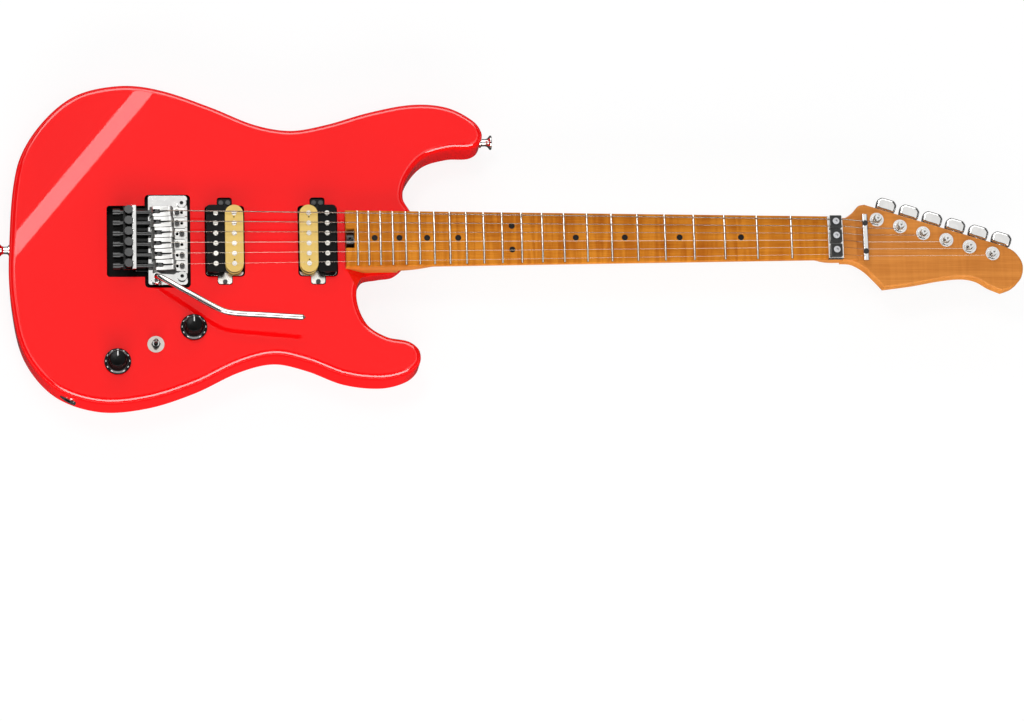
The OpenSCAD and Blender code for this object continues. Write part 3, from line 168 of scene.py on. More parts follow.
class Board:
    """The node tree of one material or world."""

    def __init__(self, tree: bpy.types.NodeTree) -> None:
        """Takes a node tree and empties it."""
        self.tree = tree
        tree.nodes.clear()

    def node(self, kind: str, settings: dict[str, Any] | None = None,
             inputs: dict[Any, Any] | None = None, output: int | str = 0) -> Signal:
        """Adds a node.

        Args:
            kind: the node's type name.
            settings: attributes to set on the node.
            inputs: values or signals by socket name or index.
            output: the output socket to return.

        Returns:
            The output as a signal.
        """
        made = self.tree.nodes.new(kind)
        for key, value in (settings or {}).items():
            setattr(made, key, value)
        for key, value in (inputs or {}).items():
            if isinstance(value, Signal):
                self.tree.links.new(value.socket, made.inputs[key])
            else:
                made.inputs[key].default_value = value
        return Signal(self, made.outputs[output]) if made.outputs else Signal(self, None)

    def place(self, stretch: Triple = (1.0, 1.0, 1.0)) -> Signal:
        """The object's own coordinates in metres, stretched along each axis."""
        here = self.node("ShaderNodeTexCoord", output="Object")
        return self.node("ShaderNodeMapping", inputs={"Vector": here, "Scale": stretch})

    def noise(self, stretch: float | Triple, detail: float, distort: float = 0.0) -> Signal:
        """Noise with about one blob per unit of the stretched coordinates.

        Args:
            stretch: blobs per metre, the same along every axis or one number for each.
            detail: how many finer layers there are.
            distort: how far the blobs are bent.

        Returns:
            The noise, from 0 to 1.
        """
        where = self.place(stretch if isinstance(stretch, tuple) else (stretch,) * 3)
        values = {"Vector": where, "Scale": 1.0, "Detail": detail, "Distortion": distort}
        return self.node("ShaderNodeTexNoise", inputs=values)

    def mix(self, factor: Any, first: Any, second: Any) -> Signal:
        """Mixes two colours by a factor.

        Args:
            factor: 0 for the first colour, 1 for the second.
            first: a colour or signal.
            second: a colour or signal.

        Returns:
            The mixed colour.
        """
        opaque = [(*c, 1.0) if isinstance(c, tuple) else c for c in (first, second)]
        return self.node("ShaderNodeMix", {"data_type": "RGBA", "clamp_factor": True},
                         {0: factor, 6: opaque[0], 7: opaque[1]}, output=2)

    def bump(self, height: Signal, depth: float, strength: float = 1.0) -> Signal:
        """A bumped normal; depth is in metres."""
        values = {"Height": height, "Distance": depth, "Strength": strength}
        return self.node("ShaderNodeBump", inputs=values)

    def axis(self, index: int) -> Signal:
        """One of the object's own coordinates, in metres."""
        here = self.node("ShaderNodeTexCoord", output="Object")
        return self.node("ShaderNodeSeparateXYZ", inputs={0: here}, output=index)


def blank(name: str) -> tuple[bpy.types.Material, Board]:
    """Makes an empty material.

    Args:
        name: the material's name.

    Returns:
        The material and the board of its nodes.
    """
    made = bpy.data.materials.new(name)
    made.use_nodes = True
    return made, Board(made.node_tree)


def link(name: str, data: Any) -> bpy.types.Object:
    """Puts a mesh, lamp or camera into the scene.

    Args:
        name: the object's name.
        data: what the object holds.

    Returns:
        The object.
    """
    made = bpy.data.objects.new(name, data)
    bpy.context.scene.collection.objects.link(made)
    return made


@dataclass(frozen=True)
class Finish:
    """A surface finish, made once into a material; lengths in finishes are in metres."""

    name: str
    colour: Triple
    rough: float

    def shade(self, board: Board) -> dict[str, Any]:
        """The Principled shader's inputs."""
        return {"Base Color": (*self.colour, 1.0), "Roughness": self.rough}

    def darker(self, share: float) -> Triple:
        """The colour with a share of its light taken off."""
        return tuple(c * (1.0 - share) for c in self.colour)

    def material(self) -> bpy.types.Material:
        """The finish as a material, made on first use.

        Returns:
            The material.
        """
        name = f"{self.name}_finish"
        known = bpy.data.materials.get(name)
        if known is not None:
            return known
        made, board = blank(name)
        surface = board.node("ShaderNodeBsdfPrincipled", inputs=self.shade(board))
        board.node("ShaderNodeOutputMaterial", inputs={"Surface": surface})
        made.diffuse_color = (*self.colour, 1.0)
        return made


@dataclass(frozen=True)
class Lacquer(Finish):
    """Glossy sprayed paint, with a faint orange-peel ripple and a slight change of depth."""

    reflect: float = 0.28
    shift: float = 0.05
    shift_scale: float = 9.0
    haze: float = 0.03
    haze_scale: float = 60.0
    ripple: float = 0.000004
    ripple_scale: float = 420.0

    def shade(self, board: Board) -> dict[str, Any]:
        """Paint whose depth drifts a little over the panel, under a rippled gloss.

        Args:
            board: the material's nodes.

        Returns:
            The Principled shader's inputs.
        """
        drift = board.noise(self.shift_scale, 1.0)
        haze = board.noise(self.haze_scale, 3.0)
        return {
            "Base Color": board.mix(drift.band(0.3, 0.7), self.darker(self.shift), self.colour),
            "Roughness": self.rough + haze * self.haze,
            "Specular IOR Level": self.reflect,
            "Normal": board.bump(board.noise(self.ripple_scale, 1.0), self.ripple),
        }


@dataclass(frozen=True)
class Maple(Finish):
    """Roasted maple: long streaks and fibres along X, and flame bands across it."""

    dark: Triple = (0.3, 0.12, 0.03)
    reflect: float = 0.4
    streak_scale: Triple = (5.0, 95.0, 95.0)
    flame: float = 0.2
    flame_scale: Triple = (130.0, 9.0, 9.0)
    fibre: float = 0.3
    fibre_scale: Triple = (28.0, 1500.0, 900.0)
    fibre_rough: float = 0.15
    fibre_depth: float = 0.00003
    fibre_relief: float = 0.5

    def shade(self, board: Board) -> dict[str, Any]:
        """Colour from streaks, fibres and flame; bump from the fibres.

        Args:
            board: the material's nodes.

        Returns:
            The Principled shader's inputs.
        """
        streak = board.noise(self.streak_scale, 3.0, 0.6)
        fibre = board.noise(self.fibre_scale, 2.0)
        flame = board.noise(self.flame_scale, 2.0, 1.2)
        tone = streak.band(0.25, 0.75) * (1.0 - self.fibre - self.flame)
        tone = tone + fibre.band(0.3, 0.7) * self.fibre + flame.band(0.3, 0.7) * self.flame
        return {
            "Base Color": board.mix(tone, self.dark, self.colour),
            "Roughness": self.rough + fibre * self.fibre_rough,
            "Specular IOR Level": self.reflect,
            "Normal": board.bump(fibre, self.fibre_depth, self.fibre_relief),
        }


@dataclass(frozen=True)
class Metal(Finish):
    """Plated or bare metal, with finger smudges and fine rubbing marks."""

    dull: float = 0.07
    smudge: float = 0.06
    smudge_scale: float = 90.0
    rub: float = 0.000002
    rub_scale: Triple = (2500.0, 600.0, 2500.0)

    def shade(self, board: Board) -> dict[str, Any]:
        """Metal with a roughness that drifts, and a fine grain.

        Args:
            board: the material's nodes.

        Returns:
            The Principled shader's inputs.
        """
        drift = board.noise(self.smudge_scale, 4.0, 0.8)
        return {
            "Base Color": board.mix(drift.band(0.35, 0.65), self.darker(self.dull), self.colour),
            "Metallic": 1.0,
            "Roughness": self.rough + drift.band(0.45, 0.8) * self.smudge,
            "Normal": board.bump(board.noise(self.rub_scale, 1.0), self.rub),
        }


@dataclass(frozen=True)
class ZonedMetal(Metal):
    """Metal that is dark inside boxes given by their corners in millimetres; the boxes below paint shade where
    parts lie in shade, and dark tops on the studs.
    """

    zones: tuple[tuple[Triple, Triple], ...] = ()
    dark: Triple = (0.012, 0.012, 0.012)
    dark_rough: float = 0.2

    def shade(self, board: Board) -> dict[str, Any]:
        """Metal, darkened wherever a box's low < place < high holds on all three axes.

        Args:
            board: the material's nodes.

        Returns:
            The Principled shader's inputs.
        """
        parts = super().shade(board)
        inside: Any = 0.0
        for low, high in self.zones:
            box: Any = 1.0
            for axis in range(3):
                place = board.axis(axis) / MM
                box = box * (place > low[axis]) * (high[axis] - place > 0.0)
            inside = inside + box
        parts["Base Color"] = board.mix(inside, parts["Base Color"], self.dark)
        parts["Roughness"] = parts["Roughness"] + inside * self.dark_rough
        return parts


@dataclass(frozen=True)
class WoundSteel(Metal):
    """String steel with close windings across X."""

    pitch: float = 0.0003
    relief: float = 0.3

    def shade(self, board: Board) -> dict[str, Any]:
        """Metal with a band for each winding; a band texture of scale 1 repeats every tau / 20 metres.

        Args:
            board: the material's nodes.

        Returns:
            The Principled shader's inputs.
        """
        parts = super().shade(board)
        values = {"Vector": board.place(), "Scale": math.tau / (20.0 * self.pitch)}
        bands = board.node("ShaderNodeTexWave", {"wave_type": "BANDS", "bands_direction": "X"}, values, output=1)
        parts["Normal"] = board.bump(bands, self.pitch * self.relief)
        return parts


@dataclass(frozen=True)
class Plastic(Finish):
    """Moulded plastic, slightly mottled."""

    reflect: float = 0.5
    mottle: float = 0.08
    mottle_scale: float = 70.0
    mottle_rough: float = 0.1
    grain: float = 0.00001
    grain_scale: float = 1500.0

    def shade(self, board: Board) -> dict[str, Any]:
        """Plastic with a drift of tone and a fine moulded grain.

        Args:
            board: the material's nodes.

        Returns:
            The Principled shader's inputs.
        """
        drift = board.noise(self.mottle_scale, 4.0)
        return {
            "Base Color": board.mix(drift.band(0.3, 0.7), self.darker(self.mottle), self.colour),
            "Roughness": self.rough + drift * self.mottle_rough,
            "Specular IOR Level": self.reflect,
            "Normal": board.bump(board.noise(self.grain_scale, 1.0), self.grain),
        }


RED: Triple = (0.9, 0.002, 0.003)
PLATING: Triple = (0.79, 0.785, 0.77)
FINISHES: dict[Slot, Finish] = {
    Slot.RED_PAINT: Lacquer("red_paint", RED, rough=0.04),
    Slot.ROASTED_MAPLE: Maple("roasted_maple", (0.68, 0.255, 0.045), rough=0.34, dark=(0.46, 0.145, 0.018),
                              reflect=0.2),
    Slot.FRETBOARD_MAPLE: Maple("fretboard_maple", (0.68, 0.25, 0.022), rough=0.42, dark=(0.33, 0.075, 0.003),
                                flame=0.42, fibre=0.22, reflect=0.04),
    Slot.FRET_WIRE: Metal("fret_wire", (0.8, 0.74, 0.66), rough=0.16),
    Slot.BLACK_INLAY: Plastic("black_inlay", (0.008, 0.006, 0.005), rough=0.35, reflect=0.15),
    Slot.CHROME: Metal("chrome", PLATING, rough=0.07),
    Slot.STEEL: Metal("steel", (0.6, 0.6, 0.62), rough=0.25),
    Slot.BLACK_STEEL: Metal("black_steel", (0.05, 0.05, 0.05), rough=0.28),
    Slot.BLACK_PLASTIC: Plastic("black_plastic", (0.003, 0.003, 0.003), rough=0.2, reflect=0.09),
    Slot.CREAM_PLASTIC: Plastic("cream_plastic", (0.72, 0.485, 0.112), rough=0.32),
    Slot.COIL_WIRE: Plastic("coil_wire", (0.01, 0.01, 0.01), rough=0.5),
    Slot.NICKEL: Metal("nickel", (0.85, 0.82, 0.76), rough=0.15),
    Slot.STRING_STEEL: WoundSteel("string_steel", (0.56, 0.5, 0.43), rough=0.2),
    Slot.WIRE_JACKET: Plastic("wire_jacket", (0.01, 0.01, 0.012), rough=0.45),
}
RIM_PAINT = Lacquer("rim_paint", RED, rough=0.04, reflect=1.0)
# Black for the routs and holes: partly the cavities' real black paint, partly painted shade in recesses and
# holes.
CAVITY_BLACK_AND_SHADE = Plastic("cavity_black_and_shade", (0.004, 0.004, 0.004), rough=0.5, reflect=0.1)
MARK_PAINT = Plastic("mark_paint", (0.85, 0.85, 0.83), rough=0.4)
SKIRT_PLASTIC = Plastic("skirt_plastic", (0.006, 0.006, 0.006), rough=0.12, reflect=0.6)
# Painted shade: the saddles' sides that face along Y are dark, as the narrow gaps between saddles lie in shade.
SADDLE_GAP_SHADE = Metal("saddle_gap_shade", (0.1, 0.1, 0.1), rough=0.3)
# Painted shade: the chrome toggle lever is coloured dark, as it looks with its shaded side.
SHADED_LEVER_CHROME = Metal("shaded_lever_chrome", (0.16, 0.155, 0.14), rough=0.2)
PLAIN_STEEL = Metal("plain_steel", (0.55, 0.5, 0.44), rough=0.16)
# Painted shade: a dimmed copy of chrome, so the saddles glare less under the lamps.
SHADED_SADDLE_CHROME = Metal("shaded_saddle_chrome", (0.5, 0.495, 0.48), rough=0.38)
# Painted shade: a dimmed copy of chrome for the arm.
SHADED_ARM_CHROME = Metal("shaded_arm_chrome", (0.62, 0.605, 0.58), rough=0.1)
# Painted shade: the plate is dark between the fine tuners and the saddles, where it lies in shade.
TREMOLO_CHROME = ZonedMetal("tremolo_chrome", PLATING, rough=0.07, zones=(
    ((-60.0, -60.0, 40.0), (-38.2, 60.0, 70.0)), ((-34.4, -60.0, 40.0), (-22.6, 60.0, 70.0))))
# Painted shade and painted reflection: the baseplates' legs on the +Y side are dark, as if in shade and mirroring
# the rout's black wall.
PICKUP_NICKEL = ZonedMetal("pickup_nickel", (0.8, 0.77, 0.71), rough=0.2, zones=(
    ((0.0, -31.0, 40.0), (200.0, 60.0, 60.0)),))
# Painted shade: the toggle's nut is dark round the lever's bush.
NUT_CHROME = ZonedMetal("nut_chrome", (0.66, 0.6, 0.55), rough=0.1, dark=(0.03, 0.03, 0.03), zones=(
    ((-20.7, -108.7, 46.3), (-11.3, -99.3, 50.0)),))
STUD_CHROME = ZonedMetal("stud_chrome", PLATING, rough=0.07, dark=(0.02, 0.02, 0.02), zones=(
    ((7.0, -41.0, 50.0), (13.0, 41.0, 51.8)),))
# Painted shade: the pickups' screws and the string retainer's screws are dark, as they look in shade.
SCREW_CHROME = ZonedMetal("screw_chrome", (0.85, 0.84, 0.83), rough=0.15, dark=(0.05, 0.05, 0.05), zones=(
    ((30.0, -50.0, 40.0), (160.0, 50.0, 60.0)), ((680.0, -30.0, 50.0), (692.0, 30.0, 60.0))))


def curve(points: Sequence, steps: int, closed: bool) -> Array:
    """A smooth curve through points: a cubic per stretch, slopes weighted by chord length.

    Args:
        points: the points, in 2 or 3 dimensions.
        steps: samples per stretch.
        closed: whether the last point joins the first.

    Returns:
        The samples, with the last point added to an open curve.
    """
    p = np.asarray(points, float)
    if closed:
        a, b, c, d = np.roll(p, 1, 0), p, np.roll(p, -1, 0), np.roll(p, -2, 0)
    else:
        whole = np.vstack([2 * p[0] - p[1], p, 2 * p[-1] - p[-2]])
        a, b, c, d = whole[:-3], whole[1:-2], whole[2:-1], whole[3:]
    ab, bc, cd = (np.linalg.norm(v, axis=1, keepdims=True) for v in (b - a, c - b, d - c))
    out_b = ((c - a) * bc / (ab + bc))[:, None]
    into_c = ((d - b) * bc / (bc + cd))[:, None]
    t = (np.arange(steps) / steps)[None, :, None]
    made = (b[:, None] * (2 * t**3 - 3 * t**2 + 1) + out_b * (t**3 - 2 * t**2 + t)
            + c[:, None] * (3 * t**2 - 2 * t**3) + into_c * (t**3 - t**2)).reshape(-1, p.shape[1])
    return made if closed else np.vstack([made, p[-1]])


def ease(t: Array) -> Array:
    """Goes from 0 to 1 with flat ends: 3 t squared less 2 t cubed, clamped."""
    c = np.clip(t, 0, 1)
    return c * c * (3 - 2 * c)


def counterclockwise(loop: Array) -> Array:
    """Turns a flat loop round if its signed area, the sum of its points' cross products, is negative.

    Args:
        loop: the points.

    Returns:
        The points, counterclockwise.
    """
    x, y = loop[:, 0], loop[:, 1]
    area = np.sum(x * np.roll(y, -1) - y * np.roll(x, -1))
    return loop if area > 0 else loop[::-1]


def inset(loop: Array, by: float) -> Array:
    """Moves a loop inwards along its normals, each square to the chord between its neighbours.

    Args:
        loop: the points, counterclockwise.
        by: how far.

    Returns:
        The moved points.
    """
    along = np.roll(loop, -1, 0) - np.roll(loop, 1, 0)
    inward = np.stack([-along[:, 1], along[:, 0]], 1) / np.linalg.norm(along, axis=1, keepdims=True)
    return loop + inward * by


def round_rect(x0: float, y0: float, x1: float, y1: float, r: float, steps: int = 8) -> Array:
    """A rectangle's outline with a quarter circle at each corner.

    Args:
        x0: left side.
        y0: lower side.
        x1: right side.
        y1: upper side.
        r: the corners' radius.
        steps: stretches per corner.

    Returns:
        The points, counterclockwise.
    """
    corners = np.array([[x1 - r, y1 - r], [x0 + r, y1 - r], [x0 + r, y0 + r], [x1 - r, y0 + r]])
    turn = np.radians(np.arange(4)[:, None] * 90 + np.linspace(0, 90, steps + 1)[None])
    return (corners[:, None] + r * np.stack([np.cos(turn), np.sin(turn)], -1)).reshape(-1, 2)


def slot_outline(p: Array, q: Array, r: float, steps: int = 24) -> Array:
    """A slot's outline: two half circles about p and q, joined by straight sides.

    Args:
        p: one centre.
        q: the other centre.
        r: the half circles' radius.
        steps: stretches per half circle.

    Returns:
        The points.
    """
    lean = math.atan2(q[1] - p[1], q[0] - p[0])
    sweep = np.linspace(-math.pi / 2, math.pi / 2, steps + 1)
    near, far = (np.stack([np.cos(a), np.sin(a)], 1) * r for a in (lean + sweep + math.pi, lean + sweep))
    return np.vstack([q + far, p + near])


@dataclass
class Surface:
    """Points in millimetres and the faces between them."""

    points: Array
    faces: list[list[int]]

    def __add__(self, other: Surface) -> Surface:
        """Puts two surfaces into one.

        Args:
            other: the second surface.

        Returns:
            Both surfaces.
        """
        shift = len(self.points)
        moved = [[i + shift for i in face] for face in other.faces]
        return Surface(np.vstack([self.points, other.points]), self.faces + moved)

    def at(self, place: Sequence[float], turn: float = 0.0) -> Surface:
        """Turns the surface about Z, then moves it.

        Args:
            place: where its origin goes.
            turn: the angle.

        Returns:
            The moved surface.
        """
        a = math.radians(turn)
        spin = np.array([[math.cos(a), -math.sin(a), 0], [math.sin(a), math.cos(a), 0], [0, 0, 1.0]])
        return Surface(self.points @ spin.T + np.asarray(place, float), self.faces)

    def aimed(self, direction: Sequence[float]) -> Surface:
        """The surface with its Z axis turned to a direction."""
        spin = np.array(Vector(direction).to_track_quat("Z", "Y").to_matrix())
        return Surface(self.points @ spin.T, self.faces)

    @classmethod
    def loft(cls, rings: Array, caps: bool = True) -> Surface:
        """Quads between equal rings, row by row, with the end rings filled.

        Args:
            rings: points by ring, by place round the ring.
            caps: whether the ends are filled.

        Returns:
            The surface.
        """
        rows, columns = rings.shape[:2]
        index = np.arange(rows * columns).reshape(rows, columns)
        onward = np.roll(index, -1, 1)
        faces = np.stack([index[:-1], onward[:-1], onward[1:], index[1:]], -1).reshape(-1, 4).tolist()
        if caps:
            faces += [index[0, ::-1].tolist(), index[-1].tolist()]
        return cls(rings.reshape(-1, 3), faces)

    @classmethod
    def tube(cls, path: Array, radius: Any, sides: int, ref: Triple) -> Surface:
        """A round tube: a circle of the radius carried square to the path.

        Args:
            path: the tube's centre line.
            radius: one value, or one per point of the path.
            sides: places round the tube.
            ref: a direction that the path never takes.

        Returns:
            The closed surface.
        """
        along = np.gradient(path, axis=0)
        along /= np.linalg.norm(along, axis=1, keepdims=True)
        side = np.cross(np.asarray(ref, float), along)
        side /= np.linalg.norm(side, axis=1, keepdims=True)
        up = np.cross(along, side)
        a = np.linspace(0, math.tau, sides, endpoint=False)[None, :, None]
        reach = np.broadcast_to(np.asarray(radius, float), (len(path),))[:, None, None]
        return cls.loft(path[:, None] + reach * (np.cos(a) * side[:, None] + np.sin(a) * up[:, None]))

    @classmethod
    def revolve(cls, profile: Sequence, sides: int, flutes: int = 0, depth: Any = 0.0,
                caps: bool = True) -> Surface:
        """A profile of (radius, height) turned about Z, with flutes cut into it by a cosine.

        Args:
            profile: radius and height of each ring, upwards.
            sides: places round each ring.
            flutes: number of flutes.
            depth: the flutes' depth, one value or one per ring.
            caps: whether the ends are filled.

        Returns:
            The surface.
        """
        rz = np.asarray(profile, float)
        a = np.linspace(0, math.tau, sides, endpoint=False)
        cut = np.broadcast_to(np.asarray(depth, float), (len(rz),))[:, None]
        r = rz[:, :1] - cut * (0.5 - 0.5 * np.cos(flutes * a))[None]
        rings = np.stack([r * np.cos(a), r * np.sin(a), np.broadcast_to(rz[:, 1:], r.shape)], -1)
        return cls.loft(rings, caps)

    @classmethod
    def pillow(cls, outline: Array, z0: float, z1: float, low: float = 0.0, high: float = 0.0,
               steps: int = 5, land: float = 0.5) -> Surface:
        """A flat outline raised from z0 to z1, its lower and upper edges rounded by quarter circles.

        Args:
            outline: the flat outline.
            z0: lower face.
            z1: upper face.
            low: radius of the lower edge.
            high: radius of the upper edge.
            steps: rings per rounded edge.
            land: width of the flat ring inside the upper edge.

        Returns:
            The closed surface.
        """
        loop = counterclockwise(outline)
        t = np.linspace(0, math.pi / 2, steps + 1)
        under = [(low * (1 - math.sin(a)), z0 + low * (1 - math.cos(a))) for a in t] if low else [(0, z0)]
        over = [(high * (1 - math.cos(a)), z1 - high * (1 - math.sin(a))) for a in t] if high else [(0, z1)]
        if high:
            over.append((high + land, z1))
        rings = [np.column_stack([inset(loop, e), np.full(len(loop), z)]) for e, z in under + over]
        return cls.loft(np.stack(rings))

    @classmethod
    def box(cls, low: Sequence[float], high: Sequence[float]) -> Surface:
        """A plain box between two corners."""
        plan = np.array([[low[0], low[1]], [high[0], low[1]], [high[0], high[1]], [low[0], high[1]]], float)
        return cls.pillow(plan, low[2], high[2])

    @classmethod
    def rod(cls, start: Sequence[float], end: Sequence[float], diameter: float, sides: int = 48) -> Surface:
        """A round rod: a straight profile turned about the line between two points.

        Args:
            start: the middle of one end.
            end: the middle of the other.
            diameter: the rod's diameter.
            sides: places round it.

        Returns:
            The closed surface.
        """
        run = np.subtract(end, start)
        length = float(np.linalg.norm(run))
        return cls.revolve([(diameter / 2, 0), (diameter / 2, length)], sides).aimed(run).at(start)


Cutter = tuple[Surface, Finish]


class Bench:
    """Makes objects out of surfaces and hands them to the frame."""

    weld = 0.002
    coplanar = 0.5
    edge_faces = 2
    edge_angle = 35.0
    flank_lean: Pair = (0.3, 2.0)

    def __init__(self, frame: dict[str, Any]) -> None:
        """Keeps the frame and notes which body each CAD node is on.
        """
        bodies = frame["record"]["behaviour"]["bodies"]
        self.frame = frame
        self.home = {node: body for body, nodes in bodies.items() for node in nodes}

    def mesh(self, name: str, surface: Surface) -> bpy.types.Mesh:
        """Makes a mesh in metres with its faces turned outwards.

        Args:
            name: the mesh's name.
            surface: its points and faces.

        Returns:
            The mesh.
        """
        made = bpy.data.meshes.new(name)
        made.from_pydata((surface.points * MM).tolist(), [], surface.faces)
        work = bmesh.new()
        work.from_mesh(made)
        bmesh.ops.recalc_face_normals(work, faces=work.faces)
        work.to_mesh(made)
        work.free()
        return made

    def object(self, name: str, mesh: bpy.types.Mesh, *finishes: Finish) -> bpy.types.Object:
        """Puts a mesh into the scene.

        Args:
            name: the object's name.
            mesh: its mesh.
            finishes: its material slots, in order.

        Returns:
            The object.
        """
        made = link(name, mesh)
        for finish in finishes:
            mesh.materials.append(finish.material())
        return made

    def piece(self, name: str, surface: Surface, finish: Finish, angle: float = 40.0) -> bpy.types.Object:
        """Makes a smooth-shaded object.

        Args:
            name: the object's name.
            surface: its shape.
            finish: its finish.
            angle: edges over this stay sharp.

        Returns:
            The object.
        """
        made = self.object(name, self.mesh(name, surface), finish)
        self.smooth(made, angle)
        return made

    def smooth(self, thing: bpy.types.Object, angle: float) -> None:
        """Shades smooth, with edges over the angle kept sharp."""
        thing.data.shade_smooth()
        thing.data.set_sharp_from_angle(angle=math.radians(angle))

    def stand_for(self, thing: bpy.types.Object, node: str) -> bpy.types.Object:
        """Puts an object in a CAD node's place, on its body.

        Args:
            thing: the object.
            node: the CAD node.

        Returns:
            The object.
        """
        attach(thing, self.home[node])
        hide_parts(node)
        return thing

    def stretch(self, thing: bpy.types.Object, node: str, slot: Slot, start: Triple,
                end: Triple) -> bpy.types.Object:
        """Bakes an object's placing into its mesh and hides the CAD node that it stands for.

        Args:
            thing: the object.
            node: the CAD node.
            slot: not used.
            start: scaled to metres, then dropped unused.
            end: scaled to metres, then dropped unused.

        Returns:
            The object.
        """
        tuple(v * MM for v in start)
        tuple(v * MM for v in end)
        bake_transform(thing)
        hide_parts(node)
        return thing

    def bake(self, thing: bpy.types.Object) -> None:
        """Applies an object's modifiers.

        Args:
            thing: the object.
        """
        shape = thing.evaluated_get(bpy.context.evaluated_depsgraph_get())
        made = bpy.data.meshes.new_from_object(shape)
        thing.modifiers.clear()
        old = thing.data
        thing.data = made
        bpy.data.meshes.remove(old)

    def cut(self, thing: bpy.types.Object, cutters: Sequence[Cutter]) -> None:
        """Cuts surfaces out of an object, one by one.

        Args:
            thing: the object.
            cutters: what is cut out, each with the finish that it leaves on the cut faces.
        """
        for surface, finish in cutters:
            tool = self.object("cutter", self.mesh("cutter", surface), finish)
            cut = thing.modifiers.new("cut", "BOOLEAN")
            cut.operation = "DIFFERENCE"
            cut.solver = "EXACT"
            cut.material_mode = "TRANSFER"
            cut.object = tool
            self.bake(thing)
            bpy.data.objects.remove(tool)

    def level(self, thing: bpy.types.Object, angle: float) -> bpy.types.Object:
        """Weights the normals by face area, so that flat faces stay flat beside rounded edges.

        Args:
            thing: the object.
            angle: edges over this stay sharp.

        Returns:
            The object.
        """
        self.smooth(thing, angle)
        even = thing.modifiers.new("even", "WEIGHTED_NORMAL")
        even.keep_sharp = True
        even.weight = 100
        self.bake(thing)
        return thing

    def tint(self, thing: bpy.types.Object, axis: int, low: float, high: float) -> None:
        """Gives an object's second finish to the faces whose normals lean along an axis between two limits.

        Args:
            thing: the object.
            axis: the axis's number.
            low: the normal's least part along it, 0 to 1.
            high: its greatest part.
        """
        normals = np.empty(len(thing.data.polygons) * 3)
        thing.data.polygons.foreach_get("normal", normals)
        lean = np.abs(normals.reshape(-1, 3)[:, axis])
        chosen = (lean > low) & (lean < high)
        thing.data.polygons.foreach_set("material_index", chosen.astype(np.int32))

    def soften(self, node: str, width: float, finish: Finish, flank: Finish | None,
               holes: Sequence[Cutter]) -> bpy.types.Object:
        """Stands a copy of a CAD node in its place, with its edges rounded.

        Args:
            node: the CAD node.
            width: the edges' width.
            finish: its finish.
            flank: the finish of faces that look along Y, if another; on the saddles it is painted shade for the
                gaps between them.
            holes: what is cut out of the copy, each with the finish of its faces.

        Returns:
            The copy.
        """
        work = bmesh.new()
        work.from_mesh(self.frame["nodes"][node].data)
        bmesh.ops.remove_doubles(work, verts=work.verts, dist=self.weld * MM)
        bmesh.ops.dissolve_limit(work, angle_limit=math.radians(self.coplanar), verts=work.verts,
                                 edges=work.edges)
        mesh = bpy.data.meshes.new(f"{node}_soft")
        work.to_mesh(mesh)
        work.free()
        made = self.object(f"{node}_soft", mesh, finish, *([flank] if flank else []))
        self.smooth(made, self.edge_angle)
        edge = made.modifiers.new("edge", "BEVEL")
        edge.width = width * MM
        edge.segments = self.edge_faces
        edge.limit_method = "ANGLE"
        edge.angle_limit = math.radians(self.edge_angle)
        edge.use_clamp_overlap = True
        self.bake(made)
        if flank:
            self.tint(made, 1, *self.flank_lean)
        self.cut(made, holes)
        return self.stand_for(self.level(made, self.edge_angle), node)

    def dress(self, node: str, finish: Finish) -> None:
        """Gives a CAD node a finish.

        Args:
            node: the CAD node.
            finish: the finish.
        """
        slots = self.frame["nodes"][node].data.materials
        slots.clear()
        slots.append(finish.material())


@dataclass(frozen=True)
class Lamp:
    """A soft box: its place, the point it faces, its width and height, and its power in watts.

    Its width runs along a direction; gloss may show it or not, and matt surfaces may be lit by it or not.
    """

    name: str
    place: Triple
    aim: Triple
    size: Pair
    power: float
    along: Triple = (1.0, 0.0, 0.0)
    mirrored: bool = True
    lights: bool = True

    def build(self) -> None:
        """Hangs the lamp, with its back turned away from its aim."""
        data = bpy.data.lights.new(self.name, "AREA")
        data.shape = "RECTANGLE"
        data.size, data.size_y = self.size[0] * MM, self.size[1] * MM
        data.energy = self.power
        made = link(self.name, data)
        behind = (Vector(self.place) - Vector(self.aim)).normalized()
        over = behind.cross(Vector(self.along)).normalized()
        turn = Matrix((over.cross(behind), over, behind)).transposed()
        made.matrix_world = Matrix.Translation(Vector(self.place) * MM) @ turn.to_4x4()
        made.visible_glossy = self.mirrored
        made.visible_diffuse = self.lights


@dataclass(frozen=True)
class SideLight:
    """The light from one side: which way it stands, its gleam's rise, and the powers of gleam and box."""

    name: str
    way: float
    rise: float
    gleam: float
    glow: float


